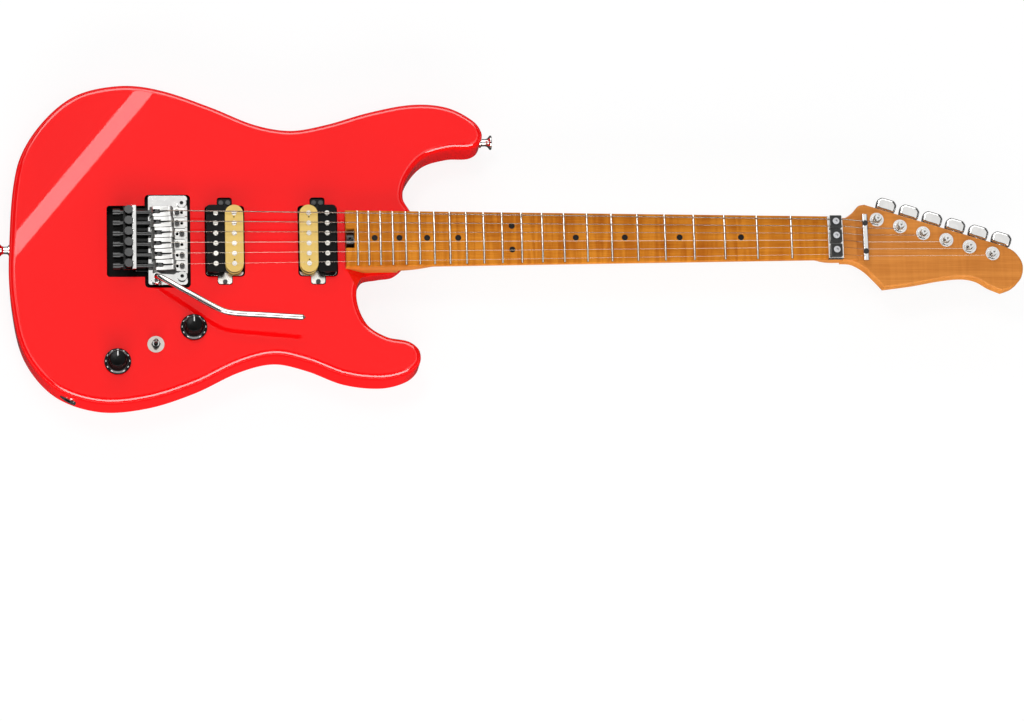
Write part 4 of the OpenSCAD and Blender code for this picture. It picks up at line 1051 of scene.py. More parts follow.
@dataclass
class Studio:
    """The camera that took the photograph, a pale floor, soft light and a white background."""

    eye: Triple = (-83.8, -1090.4, 4059.0)
    right: Triple = (0.995, -0.028, 0.0961)
    up: Triple = (0.0047, 0.972, 0.2351)
    back: Triple = (-0.1, -0.2334, 0.9672)
    focal_px: float = 4240.0
    photo_width_px: float = 1024.0
    sensor_mm: float = 36.0
    sight_m: float = 100.0
    ambient: float = 0.4
    floor_z: float = -0.6
    floor_half: float = 6000.0
    floor_tone: Triple = (0.95, 0.95, 0.95)
    floor_shadow: float = 0.15
    screen_r: float = 5200.0
    screen_rise: Pair = (4.0, 52.0)
    screen_tone: Triple = (0.06, 0.06, 0.062)
    screen_sides: int = 96
    hood_r: float = 1450.0
    hood_thick: float = 1.0
    hood_sides: int = 48
    mat_r: float = 1100.0
    mat_x: float = 300.0
    mat_thick: float = 0.2
    mat_lift: float = 0.1
    crease: Triple = (-86.4, 73.3, 44.0)
    crease_ray: Triple = (-0.1027, 0.3619, 0.9266)
    crease_along: Triple = (0.633, 0.774, 0.0)
    strip_far: float = 2600.0
    strip_size: Pair = (900.0, 590.0)
    strip_power: float = 15.0
    sides: Sequence[SideLight] = (SideLight("lower", -1.0, rise=45.0, gleam=115.0, glow=120.0),
                                  SideLight("upper", 1.0, rise=38.0, gleam=68.0, glow=50.0))
    middle: Triple = (100.0, 0.0, 40.0)
    gleam_far: float = 3180.0
    gleam_size: Pair = (4200.0, 1650.0)
    box_far: float = 3000.0
    box_z: float = 1050.0
    box_size: Pair = (4200.0, 1850.0)
    overhead: Lamp = Lamp("overhead", (500.0, -900.0, 3000.0), aim=(200.0, 0.0, 40.0), size=(1600.0, 1200.0),
                          power=24.0, mirrored=False)

    def camera(self) -> None:
        """Places the camera by its axes."""
        data = bpy.data.cameras.new("camera")
        data.lens = self.focal_px * self.sensor_mm / self.photo_width_px
        data.sensor_width = self.sensor_mm
        data.clip_end = self.sight_m
        made = link("camera", data)
        turn = Matrix((self.right, self.up, self.back)).transposed()
        made.matrix_world = Matrix.Translation(Vector(self.eye) * MM) @ turn.to_4x4()
        bpy.context.scene.camera = made

    def lamps(self) -> list[Lamp]:
        """A strip that the crease mirrors, a gleam and a soft box on each side, and one lamp overhead.

        A gleam stands at its rise on a circle round the body's middle and shows in gloss alone; a box lights
        matt surfaces alone.

        Returns:
            The lamps.
        """
        strip = Vector(self.crease) + Vector(self.crease_ray) * self.strip_far
        made = [Lamp("crease_strip", tuple(strip), self.crease, self.strip_size, self.strip_power,
                     along=self.crease_along)]
        x, _, z = self.middle
        for side in self.sides:
            rise = math.radians(side.rise)
            gleam = (x, side.way * self.gleam_far * math.cos(rise), z + self.gleam_far * math.sin(rise))
            box = (x, side.way * self.box_far, self.box_z)
            made.append(Lamp(f"{side.name}_gleam", gleam, self.middle, self.gleam_size, side.gleam, lights=False))
            made.append(Lamp(f"{side.name}_box", box, (x, 0.0, self.box_z), self.box_size, side.glow,
                             mirrored=False))
        return [*made, self.overhead]

    def world(self) -> None:
        """White to the camera and to mirrors, softer as light."""
        made = bpy.data.worlds.new("studio")
        made.use_nodes = True
        bpy.context.scene.world = made
        board = Board(made.node_tree)
        seen = [board.node("ShaderNodeLightPath", output=ray)
                for ray in ("Is Camera Ray", "Is Glossy Ray", "Is Transmission Ray")]
        shown = (seen[0] + seen[1] + seen[2]).band(0.0, 1.0)
        strength = self.ambient + shown * (1.0 - self.ambient)
        white = {"Color": (1.0, 1.0, 1.0, 1.0), "Strength": strength}
        board.node("ShaderNodeOutputWorld", inputs={"Surface": board.node("ShaderNodeBackground", inputs=white)})

    def floor(self, bench: Bench) -> None:
        """A pale floor that keeps a faint shadow: a matt white mixed with a glow that the camera sees.

        Args:
            bench: makes the mesh.
        """
        h, z = self.floor_half, self.floor_z
        plane = Surface(np.array([(-h, -h, z), (h, -h, z), (h, h, z), (-h, h, z)]), [[0, 1, 2, 3]])
        thing = link("floor", bench.mesh("floor", plane))
        made, board = blank("floor")
        lit = board.node("ShaderNodeBsdfDiffuse", inputs={"Color": (*self.floor_tone, 1.0)})
        glow = board.node("ShaderNodeEmission", inputs={"Color": (1.0, 1.0, 1.0, 1.0), "Strength": 1.0})
        seen = board.node("ShaderNodeLightPath", output="Is Camera Ray")
        shares = {0: seen * (1.0 - self.floor_shadow), 1: lit, 2: glow}
        mixed = board.node("ShaderNodeMixShader", inputs=shares)
        board.node("ShaderNodeOutputMaterial", inputs={"Surface": mixed})
        thing.data.materials.append(made)

    def screen(self, bench: Bench, name: str, wall: Surface) -> None:
        """A dark screen that only mirrors see, for depth in the chrome.

        Args:
            bench: makes the mesh.
            name: the screen's name.
            wall: its shape.
        """
        thing = link(name, bench.mesh(name, wall))
        made, board = blank("screen")
        dark = board.node("ShaderNodeEmission", inputs={"Color": (*self.screen_tone, 1.0), "Strength": 1.0})
        board.node("ShaderNodeOutputMaterial", inputs={"Surface": dark})
        thing.data.materials.append(made)
        thing.visible_camera = thing.visible_diffuse = False
        thing.visible_shadow = thing.visible_transmission = False

    def build(self, bench: Bench) -> Pieces:
        """Sets up the whole studio.

        Args:
            bench: makes the meshes.

        Returns:
            No pieces, because nothing here is part of the object.
        """
        self.camera()
        self.world()
        self.floor(bench)
        low, high = (math.tan(math.radians(a)) * self.screen_r for a in self.screen_rise)
        wall = Surface.revolve([(self.screen_r, low), (self.screen_r, high)], self.screen_sides, caps=False)
        hood = Surface.revolve([(self.hood_r, 0.0), (self.hood_r, self.hood_thick)], self.hood_sides)
        mat = Surface.revolve([(self.mat_r, 0.0), (self.mat_r, self.mat_thick)], self.screen_sides)
        self.screen(bench, "screen", wall)
        self.screen(bench, "camera_hood", hood.aimed(self.back).at(self.eye))
        self.screen(bench, "floor_mat", mat.at((self.mat_x, 0.0, self.floor_z + self.mat_lift)))
        for lamp in self.lamps():
            lamp.build()
        bpy.context.scene.view_settings.view_transform = "Standard"
        return []


@dataclass(frozen=True)
class Rout:
    """A pocket with round corners: its plan as x0, y0, x1, y1, its corners, its levels and its paint."""

    plan: tuple[float, float, float, float]
    corner: float
    low: float
    high: float
    # The default paint is black: partly real cavity paint, partly painted shade.
    paint: Finish = CAVITY_BLACK_AND_SHADE

    def cutter(self) -> Cutter:
        """The pocket's solid and its paint."""
        return Surface.pillow(round_rect(*self.plan, self.corner), self.low, self.high), self.paint


@dataclass(frozen=True)
class Bore:
    """A straight round hole: the middles of its ends, its diameter and its paint."""

    start: Sequence[float]
    end: Sequence[float]
    diameter: float
    paint: Finish

    def cutter(self) -> Cutter:
        """The hole's solid and its paint."""
        return Surface.rod(self.start, self.end, self.diameter), self.paint


@dataclass
class BodyShell:
    """The painted body: a smooth rim, the forearm contour and the black cavities."""

    outline: Sequence = (
        (-158, -12), (-156, -60), (-144, -110), (-115, -146), (-72, -162), (-25, -159), (22, -144),
        (66, -123), (100, -115), (132, -122), (168, -136), (204, -140), (229, -134), (241, -123),
        (241, -110), (231, -101), (209, -96), (190, -83), (180.5, -57), (186, -34.5), (203, -30), (219, -27),
        (231, -14), (236, 27), (228, 45), (233, 66), (250, 86), (275, 94), (296, 95), (305, 100), (308, 111),
        (300, 124), (274, 138), (240, 141), (197, 133), (153, 120), (118, 114), (83, 120), (40, 138),
        (-8, 155), (-50, 161), (-95, 151), (-131, 118), (-151, 76))
    steps: int = 10
    edge: float = 6.0
    edge_steps: int = 12
    rim_lean: Pair = (0.03, 0.985)
    sharp: float = 32.0
    crease: Pair = (39.4, 43.9)
    slope: float = 8.0
    crease_width: float = 20.0
    crease_strips: int = 24
    front_slack: float = 0.01
    board_end: float = 170.04
    heel_half: float = 28.25
    nut_half: float = 21.5
    pocket_floor: float = 27.0
    pocket_end: float = 246.0
    pocket_gap: float = 0.1
    scoop_tilt: float = 47.7
    scoop_turn: float = 24.5
    scoop_y: Pair = (-62.0, -20.0)
    scoop_in: float = 1.0
    bridge_pickup: float = 52.0
    neck_pickup_gap: float = 27.0
    pickup_half: Pair = (19.45, 36.0)
    pickup_corner: float = 4.0
    pickup_floor: float = 25.0
    ear_half: Pair = (7.4, 44.2)
    ear_corner: float = 2.8
    ear_floor: float = 42.3
    plate_rout: Rout = Rout((-26, -47, 18.5, 47), corner=4, low=39.0, high=PAST_FRONT)
    tuner_rout: Rout = Rout((-63, -36, -23, 36), corner=3, low=32.0, high=PAST_FRONT)
    block_way: tuple[Triple, Triple] = ((-25, -27, 17), (8, 27, 40))
    spring_rout: Rout = Rout((-34, -30, 104, 30), corner=4, low=PAST_BACK, high=18.0)
    cover_rout: Rout = Rout((-43.2, -39.2, 113.2, 39.2), corner=8, low=PAST_BACK, high=2.05,
                            paint=FINISHES[Slot.RED_PAINT])
    jack_in: Pair = (-79.5, -116.3)
    control_r: Pair = (18.0, 15.0)
    control_deep: float = 38.0
    cover_rim: float = 9.2
    cover_deep: float = 2.05
    ferrule_x: Pair = (17.0, 42.0)
    ferrule_y: float = 14.0
    ferrule_d: float = 13.2
    ferrule_deep: float = 3.05
    insert_at: Pair = (10.0, 37.0)
    insert_z: Pair = (19.0, 40.0)
    insert_d: float = 11.2
    shaft_z: Pair = (37.0, 46.0)
    shaft_holes: Sequence[tuple[Pair, float]] = ((VOLUME_AT, 8.0), (TONE_AT, 8.0), (TOGGLE_AT, 6.4))
    jack_at: Triple = (-101.0, -153.5, 22.5)
    jack_turn: float = 240.0
    jack_cup: Pair = (12.0, 17.8)
    jack_bore: Pair = (35.0, 12.0)
    strap_z: float = 22.5
    strap_seats: Sequence[tuple[Pair, float]] = (((-157.4, -3.0), -8.0), ((307.0, 107.0), 8.0))
    strap_d: float = 11.0

    def half(self, x: Any) -> Any:
        """Half the fingerboard's width at one or more places along it; it grows evenly towards its end."""
        run = (SCALE - x) / (SCALE - self.board_end)
        return self.nut_half + (self.heel_half - self.nut_half) * run

    def slab(self) -> Surface:
        """The outline raised to the body's thickness, with quarter-round edges."""
        loop = curve(self.outline, self.steps, True)
        return Surface.pillow(loop, 0.0, BODY_THICK, self.edge, self.edge, self.edge_steps)

    def contour(self, thing: bpy.types.Object) -> None:
        """Lowers the front beyond the crease: a parabola across the crease's width, then a plane.

        Args:
            thing: the body.
        """
        loop = inset(curve(self.outline, self.steps, True), self.edge)
        a, b = (loop[round(i * self.steps)] for i in self.crease)
        away = np.array([b[1] - a[1], a[0] - b[0]])
        away /= np.linalg.norm(away)
        width = self.crease_width
        work = bmesh.new()
        work.from_mesh(thing.data)
        for shift in np.linspace(-width / 2, width / 2, self.crease_strips + 1):
            spot = a + away * shift
            bmesh.ops.bisect_plane(work, geom=work.verts[:] + work.edges[:] + work.faces[:], dist=1e-7,
                                   plane_co=(spot[0] * MM, spot[1] * MM, 0), plane_no=(away[0], away[1], 0))
        work.to_mesh(thing.data)
        work.free()
        flat = np.empty(len(thing.data.vertices) * 3)
        thing.data.vertices.foreach_get("co", flat)
        points = flat.reshape(-1, 3) / MM
        d = (points[:, :2] - a) @ away
        bend = np.clip(d + width / 2, 0, width) ** 2 / (2 * width) + np.maximum(d - width / 2, 0)
        front = points[:, 2] > BODY_THICK - self.edge - self.front_slack
        points[:, 2] -= np.where(front, bend * math.tan(math.radians(self.slope)), 0)
        thing.data.vertices.foreach_set("co", (points * MM).ravel())
        thing.data.update()

    def pocket(self) -> Surface:
        """The neck's pocket: the fingerboard's plan with a gap all round, from the pocket's floor up.

        Returns:
            The pocket's solid.
        """
        gap = self.pocket_gap
        x0, x1 = self.board_end - gap, self.pocket_end
        plan = np.array([(x0, -self.half(x0) - gap), (x1, -self.half(x1) - gap),
                         (x1, self.half(x1) + gap), (x0, self.half(x0) + gap)])
        return Surface.pillow(plan, self.pocket_floor, PAST_FRONT)

    def scoop(self) -> Surface:
        """The slope beside the heel: the part of a box that lies above a tilted plane.

        Returns:
            The scoop's solid.
        """
        block = Surface.box((self.board_end, self.scoop_y[0], self.pocket_floor),
                            (self.pocket_end, self.scoop_y[1], PAST_FRONT))
        mesh = bpy.data.meshes.new("scoop")
        mesh.from_pydata(block.points.tolist(), [], block.faces)
        work = bmesh.new()
        work.from_mesh(mesh)
        turn = Matrix.Rotation(math.radians(self.scoop_turn), 3, "Z")
        tilt = Matrix.Rotation(math.radians(self.scoop_tilt), 3, "Y")
        spot = (self.board_end + self.scoop_in, -self.half(self.board_end), BODY_THICK)
        cut = bmesh.ops.bisect_plane(work, geom=work.verts[:] + work.edges[:] + work.faces[:], plane_co=spot,
                                     plane_no=turn @ tilt @ Vector((0, 0, 1)), clear_inner=True)
        rim = [e for e in cut["geom_cut"] if isinstance(e, bmesh.types.BMEdge)]
        bmesh.ops.contextual_create(work, geom=rim)
        work.to_mesh(mesh)
        work.free()
        points = np.empty(len(mesh.vertices) * 3)
        mesh.vertices.foreach_get("co", points)
        made = Surface(points.reshape(-1, 3), [list(face.vertices) for face in mesh.polygons])
        bpy.data.meshes.remove(mesh)
        return made

    def pickup_routs(self) -> list[Rout]:
        """Each pickup's cavity and the shallow one for its ears.

        Returns:
            The pockets.
        """
        shapes = ((self.pickup_half, self.pickup_corner, self.pickup_floor),
                  (self.ear_half, self.ear_corner, self.ear_floor))
        return [Rout((x - half[0], -half[1], x + half[0], half[1]), corner, floor, PAST_FRONT)
                for x in (self.bridge_pickup, self.board_end - self.neck_pickup_gap)
                for half, corner, floor in shapes]

    def control_cuts(self) -> list[Cutter]:
        """The control cavity, a slot from jack to tone and one from tone to volume, with its cover's recess.

        Returns:
            The solids and their paints.
        """
        volume, tone, jack = (np.array(place) for place in (VOLUME_AT, TONE_AT, self.jack_in))
        cuts = []
        for p, q, r in ((tone, volume, self.control_r[0]), (jack, tone, self.control_r[1])):
            cavity, cover = slot_outline(p, q, r), slot_outline(p, q, r + self.cover_rim)
            # The cavities are black, partly real cavity paint, partly painted shade; their covers' recesses are
            # red.
            cuts += [(Surface.pillow(cavity, PAST_BACK, self.control_deep), CAVITY_BLACK_AND_SHADE),
                     (Surface.pillow(cover, PAST_BACK, self.cover_deep), FINISHES[Slot.RED_PAINT])]
        return cuts

    def bores(self) -> list[Bore]:
        """The round holes: ferrules, stud inserts, control shafts, the jack's cup and the strap buttons' seats.

        Returns:
            The holes.
        """
        red = FINISHES[Slot.RED_PAINT]
        made = [Bore((self.board_end + x, y, PAST_BACK), (self.board_end + x, y, self.ferrule_deep),
                     self.ferrule_d, red)
                for x in self.ferrule_x for y in (-self.ferrule_y, self.ferrule_y)]
        x, side = self.insert_at
        low, high = self.insert_z
        # The inserts', shafts' and jack's bores are black inside: partly real cavity paint, partly painted shade.
        made += [Bore((x, y, low), (x, y, high), self.insert_d, CAVITY_BLACK_AND_SHADE) for y in (-side, side)]
        low, high = self.shaft_z
        made += [Bore((*at, low), (*at, high), d, CAVITY_BLACK_AND_SHADE) for at, d in self.shaft_holes]
        turn = math.radians(self.jack_turn)
        way = np.array((math.cos(turn), math.sin(turn), 0))
        seat = np.array(self.jack_at) - way
        made += [Bore(seat, seat + self.jack_cup[0] * way, self.jack_cup[1], red),
                 Bore(seat - self.jack_bore[0] * way, seat + way, self.jack_bore[1], CAVITY_BLACK_AND_SHADE)]
        z = self.strap_z
        made += [Bore((x, y, z), (x + out, y, z), self.strap_d, red) for (x, y), out in self.strap_seats]
        return made

    def cutters(self) -> list[Cutter]:
        """What is cut out of the slab, each with the paint of its faces.

        Returns:
            The solids and their paints, in the order of cutting.
        """
        red = FINISHES[Slot.RED_PAINT]
        # The routs, the block's way and the cavities are black: partly real cavity paint, partly painted shade.
        front = [*self.pickup_routs(), self.plate_rout, self.tuner_rout]
        return [(self.pocket(), red), (self.scoop(), red), *(rout.cutter() for rout in front),
                (Surface.box(*self.block_way), CAVITY_BLACK_AND_SHADE), self.spring_rout.cutter(),
                self.cover_rout.cutter(), *self.control_cuts(), *(bore.cutter() for bore in self.bores())]

    def build(self, bench: Bench) -> Pieces:
        """Makes the body and puts it in the place of the CAD node.

        Args:
            bench: makes and cuts the object.

        Returns:
            The body.
        """
        mesh = bench.mesh("body_shell", self.slab())
        made = bench.object("body_shell", mesh, FINISHES[Slot.RED_PAINT], RIM_PAINT)
        self.contour(made)
        bench.tint(made, 2, *self.rim_lean)
        bench.cut(made, self.cutters())
        return [bench.stand_for(bench.level(made, self.sharp), "body")]


@dataclass
class NeckWood:
    """The neck: a smooth shaft between the square heel and the headstock."""

    board_z: float = 49.8
    heel_t: float = 22.8
    heel_len: float = 52.0
    heel_lap: float = 4.0
    heel_blend: float = 36.0
    heel_tuck: float = 0.3
    heel_gap: float = 0.05
    board_gap: float = 0.1
    shaft_t: float = 15.5
    shaft_gain: float = 2.0
    round_power: float = 2.3
    square_power: float = 9.0
    shelf_end: float = 678.0
    head_from: float = 14.0
    head_blend: float = 22.0
    head_tuck: float = 0.6
    head_top: float = 46.3
    head_back: float = 31.8
    head_edge: float = 1.6
    head_edge_steps: int = 4
    head_steps: int = 10
    rings: int = 150
    sides: int = 64
    sharp: float = 40.0
    upper: Sequence = ((14, 0.2), (20, 1.2), (27, 6), (34, 13.4), (40, 14.8))
    tip: Sequence = ((180, -6.8), (190, -13), (197, -25), (195, -39), (186, -48.5), (175, -53))
    lower: Sequence = ((175, -53), (163, -48), (150, -40.5), (136, -38), (114, -40), (86, -45), (56, -49))
    throat: Sequence = ((56, -49), (48, -40), (38, -30), (26, -23), (14, -21.7))
    wheel_slot: Pair = (8.6, 20.0)
    wheel_floor: float = 38.0
    shell: BodyShell = field(default_factory=BodyShell)

    def shaft(self) -> Surface:
        """Rings across the neck: half a superellipse that squares up at the heel and the head.

        At an angle a, y is the half width times cos a, and z the depth times sin a, each raised to 2 over a
        power that grows where heel or head begin.

        Returns:
            The shaft.
        """
        heel_end = self.shell.board_end + self.heel_len
        x = np.linspace(heel_end - self.heel_lap, self.shelf_end, self.rings)
        heel = 1 - ease((x - heel_end) / self.heel_blend)
        head = ease((x - SCALE + self.head_from) / self.head_blend)
        plain = self.shaft_t + self.shaft_gain * (SCALE - x) / (SCALE - heel_end)
        depth = plain * (1 - heel) * (1 - head) + (self.heel_t - self.heel_tuck) * heel
        depth = depth + (self.board_z - self.head_back - self.head_tuck) * head
        power = (2 / (self.round_power + self.square_power * np.maximum(heel, head)))[:, None]
        half = self.shell.half(np.minimum(x, NUT_BACK))[:, None] - self.heel_tuck * heel[:, None]
        a = np.linspace(0, math.pi, self.sides)[None]
        c, s = np.cos(a), np.maximum(np.sin(a), 0)
        y = -half * np.sign(c) * np.abs(c) ** power
        z = self.board_z - depth[:, None] * s**power
        return Surface.loft(np.stack([np.broadcast_to(x[:, None], y.shape), y, z], -1))

    def heel(self) -> Surface:
        """The square heel in its pocket, with a slot for the truss-rod wheel.

        Returns:
            The heel, in two layers.
        """
        x0, x1 = self.shell.board_end, self.shell.board_end + self.heel_len
        plan = np.array([(x0, -self.shell.half(x0)), (x1, -self.shell.half(x1)),
                         (x1, self.shell.half(x1)), (x0, self.shell.half(x0))])
        deep, wide = self.wheel_slot
        notch = np.array([(x0, wide / 2), (x0 + deep, wide / 2), (x0 + deep, -wide / 2), (x0, -wide / 2)])
        low = Surface.pillow(plan, self.board_z - self.heel_t + self.heel_gap, self.wheel_floor)
        return low + Surface.pillow(np.vstack([plan, notch]), self.wheel_floor, self.board_z - self.board_gap)

    def head(self) -> Surface:
        """The headstock: four smooth stretches of outline, raised with eased edges.

        Returns:
            The headstock.
        """
        corner = np.array((SCALE, self.shell.nut_half))
        upper = corner + curve(self.upper, self.head_steps, False)
        tip, lower, throat = (np.array((SCALE, 0.0)) + curve(part, self.head_steps, False)
                              for part in (self.tip, self.lower, self.throat))
        loop = np.vstack([upper, tip[:-1], lower[:-1], throat])
        return Surface.pillow(loop, self.head_back, self.head_top, self.head_edge, self.head_edge,
                              self.head_edge_steps)

    def build(self, bench: Bench) -> Pieces:
        """Makes the neck and puts it in the place of the CAD node.

        Args:
            bench: makes the object.

        Returns:
            The neck.
        """
        mesh = bench.mesh("neck_wood", self.shaft() + self.heel() + self.head())
        made = bench.object("neck_wood", mesh, FINISHES[Slot.ROASTED_MAPLE])
        return [bench.stand_for(bench.level(made, self.sharp), "neck")]


@dataclass
class Strings:
    """Six strings from their lock blocks over saddles and nut to two turns on their posts."""

    gauges: Sequence[float] = (1.07, 0.81, 0.61, 0.43, 0.33, 0.25)
    wound: int = 3
    intonation: Sequence[float] = (-1.4, -0.6, 0.3, -0.4, 0.4, 1.4)
    spread_bridge: float = 54.0
    spread_nut: float = 36.0
    saddle_top: float = 60.2
    nut_top: float = 57.4
    rests_on: float = 0.05
    radius: float = 305.0
    plate_top: float = 49.0
    slot_front: float = -9.8
    slot_gap: float = 0.1
    end_z: float = 2.4
    groove_z: float = 3.4
    groove_lift: float = 0.5
    groove_drop: float = 0.95
    groove_bend: Pair = (1.4, 0.9)
    ramp_end: float = -2.0
    crest: Pair = (-0.6, 1.0)
    crest_fall: float = 0.01
    near_saddle: tuple[float, float, int] = (3.0, 24.0, 12)
    over_board: tuple[float, float, int] = (30.0, SCALE - 20.0, 60)
    nut_in: float = 1.0
    nut_out: float = 0.5
    nut_past: Pair = (1.5, 0.5)
    retainer_x: float = 686.0
    retainer_half: float = 2.0
    retainer_under: float = 50.5
    first_post: Pair = (699.6, 20.2)
    post_pitch: float = 24.1
    post_turn: float = -16.9
    post_r: float = 3.0
    post_z: float = 52.3
    turns: float = 2.5
    turn_points: int = 24
    turn_gap: float = 0.02
    turn_pitch: float = 2.2
    sides: int = 12
    ref: Triple = (0.02, 0.05, 1.0)
    follow: Pair = (22.0, 4.0)

    def crown(self, y: float) -> float:
        """How far the fingerboard's curve, a circle, falls at y."""
        return self.radius - math.sqrt(self.radius**2 - y**2)

    def post(self, i: int) -> Array:
        """Where a post stands: an equal step along the headstock's line for each."""
        lean = math.radians(self.post_turn)
        return np.array(self.first_post) + self.post_pitch * i * np.array((math.cos(lean), math.sin(lean)))

    def path(self, i: int) -> Array:
        """The string's centre line: up the saddle, straight to the nut, then a helix down its post.

        Args:
            i: the string's number, from the bass side.

        Returns:
            The points.
        """
        r = self.gauges[i] / 2
        share = 0.5 - i / (len(self.gauges) - 1)
        y0, y1 = self.spread_bridge * share, self.spread_nut * share
        z0 = self.saddle_top - self.crown(y0) + r + self.rests_on
        z1 = self.nut_top - self.crown(y1) + r + self.rests_on
        dx = self.intonation[i]
        x_in = dx + self.slot_front - r - self.slot_gap
        climb = z0 - r - self.plate_top - self.groove_drop - self.groove_z
        rise = climb / (self.crest[0] - self.slot_front)
        groove = self.plate_top + self.groove_z + r + self.groove_lift
        start = [(x_in, y0, self.plate_top + self.end_z), (x_in, y0, self.plate_top + self.groove_z),
                 (x_in + self.groove_bend[0], y0, groove + self.groove_bend[1] * rise),
                 (dx + self.ramp_end, y0, groove + (self.ramp_end - self.slot_front) * rise),
                 (dx + self.crest[0], y0, z0), (dx + self.crest[1], y0, z0 - self.crest_fall)]
        x = np.concatenate([np.linspace(*self.near_saddle), np.linspace(*self.over_board)])
        nut = SCALE + self.nut_in
        run = np.stack([x, y0 + (y1 - y0) * x / nut, z0 + (z1 - z0) * x / nut], 1)
        under = self.retainer_under - r
        past, fall = self.nut_past
        bar = (self.retainer_x - self.retainer_half, self.retainer_x + self.retainer_half)
        head = [(nut, y1, z1), (NUT_BACK - self.nut_out, y1, z1), (NUT_BACK + past, y1, z1 - fall),
                (bar[0], y1, under), (bar[1], y1, under)]
        place = self.post(i)
        wrap = self.post_r + r + self.turn_gap
        a = -math.pi / 2 + np.linspace(0, math.tau * self.turns, int(self.turn_points * self.turns))
        z = self.post_z - (a - a[0]) / math.tau * self.turn_pitch * r
        coil = np.stack([place[0] + wrap * np.cos(a), place[1] + wrap * np.sin(a), z], 1)
        return np.vstack([start, run, head, coil])

    def build(self, bench: Bench) -> Pieces:
        """Makes the strings.

        Args:
            bench: makes the objects.

        Returns:
            The strings.
        """
        made = []
        start, end = ((x, 0.0, self.saddle_top) for x in self.follow)
        for i, gauge in enumerate(self.gauges):
            finish = FINISHES[Slot.STRING_STEEL] if i < self.wound else PLAIN_STEEL
            shape = Surface.tube(self.path(i), gauge / 2, self.sides, self.ref)
            piece = bench.piece(f"string_{i + 1}", shape, finish)
            made.append(bench.stretch(piece, "strings", Slot.STRING_STEEL, start, end))
        return made


@dataclass
class TremoloSprings:
    """Three close-wound springs between the block and the claw, with hooked ends."""

    ys: Sequence[float] = (-17.0, 0.0, 17.0)
    z: float = 13.0
    start: float = 1.45
    end: float = 91.55
    coil_in: float = 7.5
    coil_r: float = 3.65
    hook: Sequence[Pair] = ((0.0, 0.0), (3.5, 0.0), (6.2, 1.4))
    wire: float = 1.1
    turns: int = 24
    rings: int = 20
    sides: int = 10
    ref: Triple = (1.0, 0.02, 0.05)
    follow: float = 50.0

    def path(self, y: float) -> Array:
        """A helix along X, with its ends led to the axis.

        Args:
            y: where the spring's axis lies.

        Returns:
            The points.
        """
        a = np.linspace(0, math.tau * self.turns, self.turns * self.rings + 1)
        x = np.linspace(self.start + self.coil_in, self.end - self.coil_in, len(a))
        coil = np.stack([x, y + self.coil_r * np.cos(a), self.z + self.coil_r * np.sin(a)], 1)
        along, across = np.array(self.hook).T
        level = np.full(len(along), self.z)
        lead = np.stack([self.start + along, y + across, level], 1)
        leave = np.stack([self.end - along, y + across, level], 1)[::-1]
        return np.vstack([lead, coil, leave])

    def build(self, bench: Bench) -> Pieces:
        """Makes the springs.

        Args:
            bench: makes the objects.

        Returns:
            The springs.
        """
        made = []
        start, end = ((x, 0.0, self.z) for x in (self.follow, self.start))
        for i, y in enumerate(self.ys):
            shape = Surface.tube(self.path(y), self.wire / 2, self.sides, self.ref)
            piece = bench.piece(f"spring_{i + 1}", shape, FINISHES[Slot.STEEL])
            made.append(bench.stretch(piece, "springs", Slot.STEEL, start, end))
        return made


@dataclass
class Leads:
    """The wires between pickups, controls, jack and spring claw, inside the body."""

    wire: float = 2.2
    steps: int = 8
    sides: int = 12
    ref: Triple = (0.83, 0.55, 0.1)
    routes: Sequence = (
        ((52, -20, 42.25), (52, -20.5, 37), (51.5, -23, 33), (46.6, -33, 32.5), (38.7, -49, 32.5),
         (28.4, -70, 32.5), (28, -73, 31.5), (28.5, -75.5, 27.5), (26, -81, 25), (22.5, -86, 25.2),
         (22, -87, 28.9)),
        ((143, -20, 42.25), (143, -20, 36), (138, -20, 31.5), (120, -20, 31), (75, -20, 31),
         (60, -20.5, 30), (51.5, -24.5, 29.5), (46.6, -33, 29.5), (38.7, -49, 29.5), (28.4, -70, 29.5),
         (26.4, -73.4, 27), (22, -76, 23.5), (15, -83, 22), (13, -87, 24.5), (13, -88, 28.9)),
        ((-82.9, -122.2, 22.5), (-78, -114, 22), (-62, -108, 20), (-30, -98, 18), (2, -92, 18), (16, -92, 21),
         (17.5, -93, 24.5), (17.5, -93, 28.9)),
        ((-16, -104, 28.9), (-16, -104, 25.5), (-11, -102, 23), (0, -100, 23), (18, -99, 22.5), (24, -96.5, 24),
         (25, -95, 26), (25, -94, 28.9)),
        ((-53, -121, 28.9), (-53, -121, 25.5), (-47, -118, 22.5), (-24, -109, 22), (-19, -107, 25),
         (-19, -106.5, 28.9)),
        ((29, -86, 28.9), (29.5, -84, 24), (30, -79, 15), (30.5, -73.5, 15), (32.6, -60, 15), (37, -32, 15),
         (40, -27.5, 11.5), (48, -27, 11), (70, -27, 11), (86, -26, 11), (91.9, -23.5, 11)))

    def build(self, bench: Bench) -> Pieces:
        """Makes the wires as one piece in the place of the CAD node.

        Args:
            bench: makes the object.

        Returns:
            The wires.
        """
        tubes = [Surface.tube(curve(route, self.steps, False), self.wire / 2, self.sides, self.ref)
                 for route in self.routes]
        made = bench.piece("leads", sum(tubes[1:], tubes[0]), FINISHES[Slot.WIRE_JACKET])
        return [bench.stand_for(made, "wiring")]


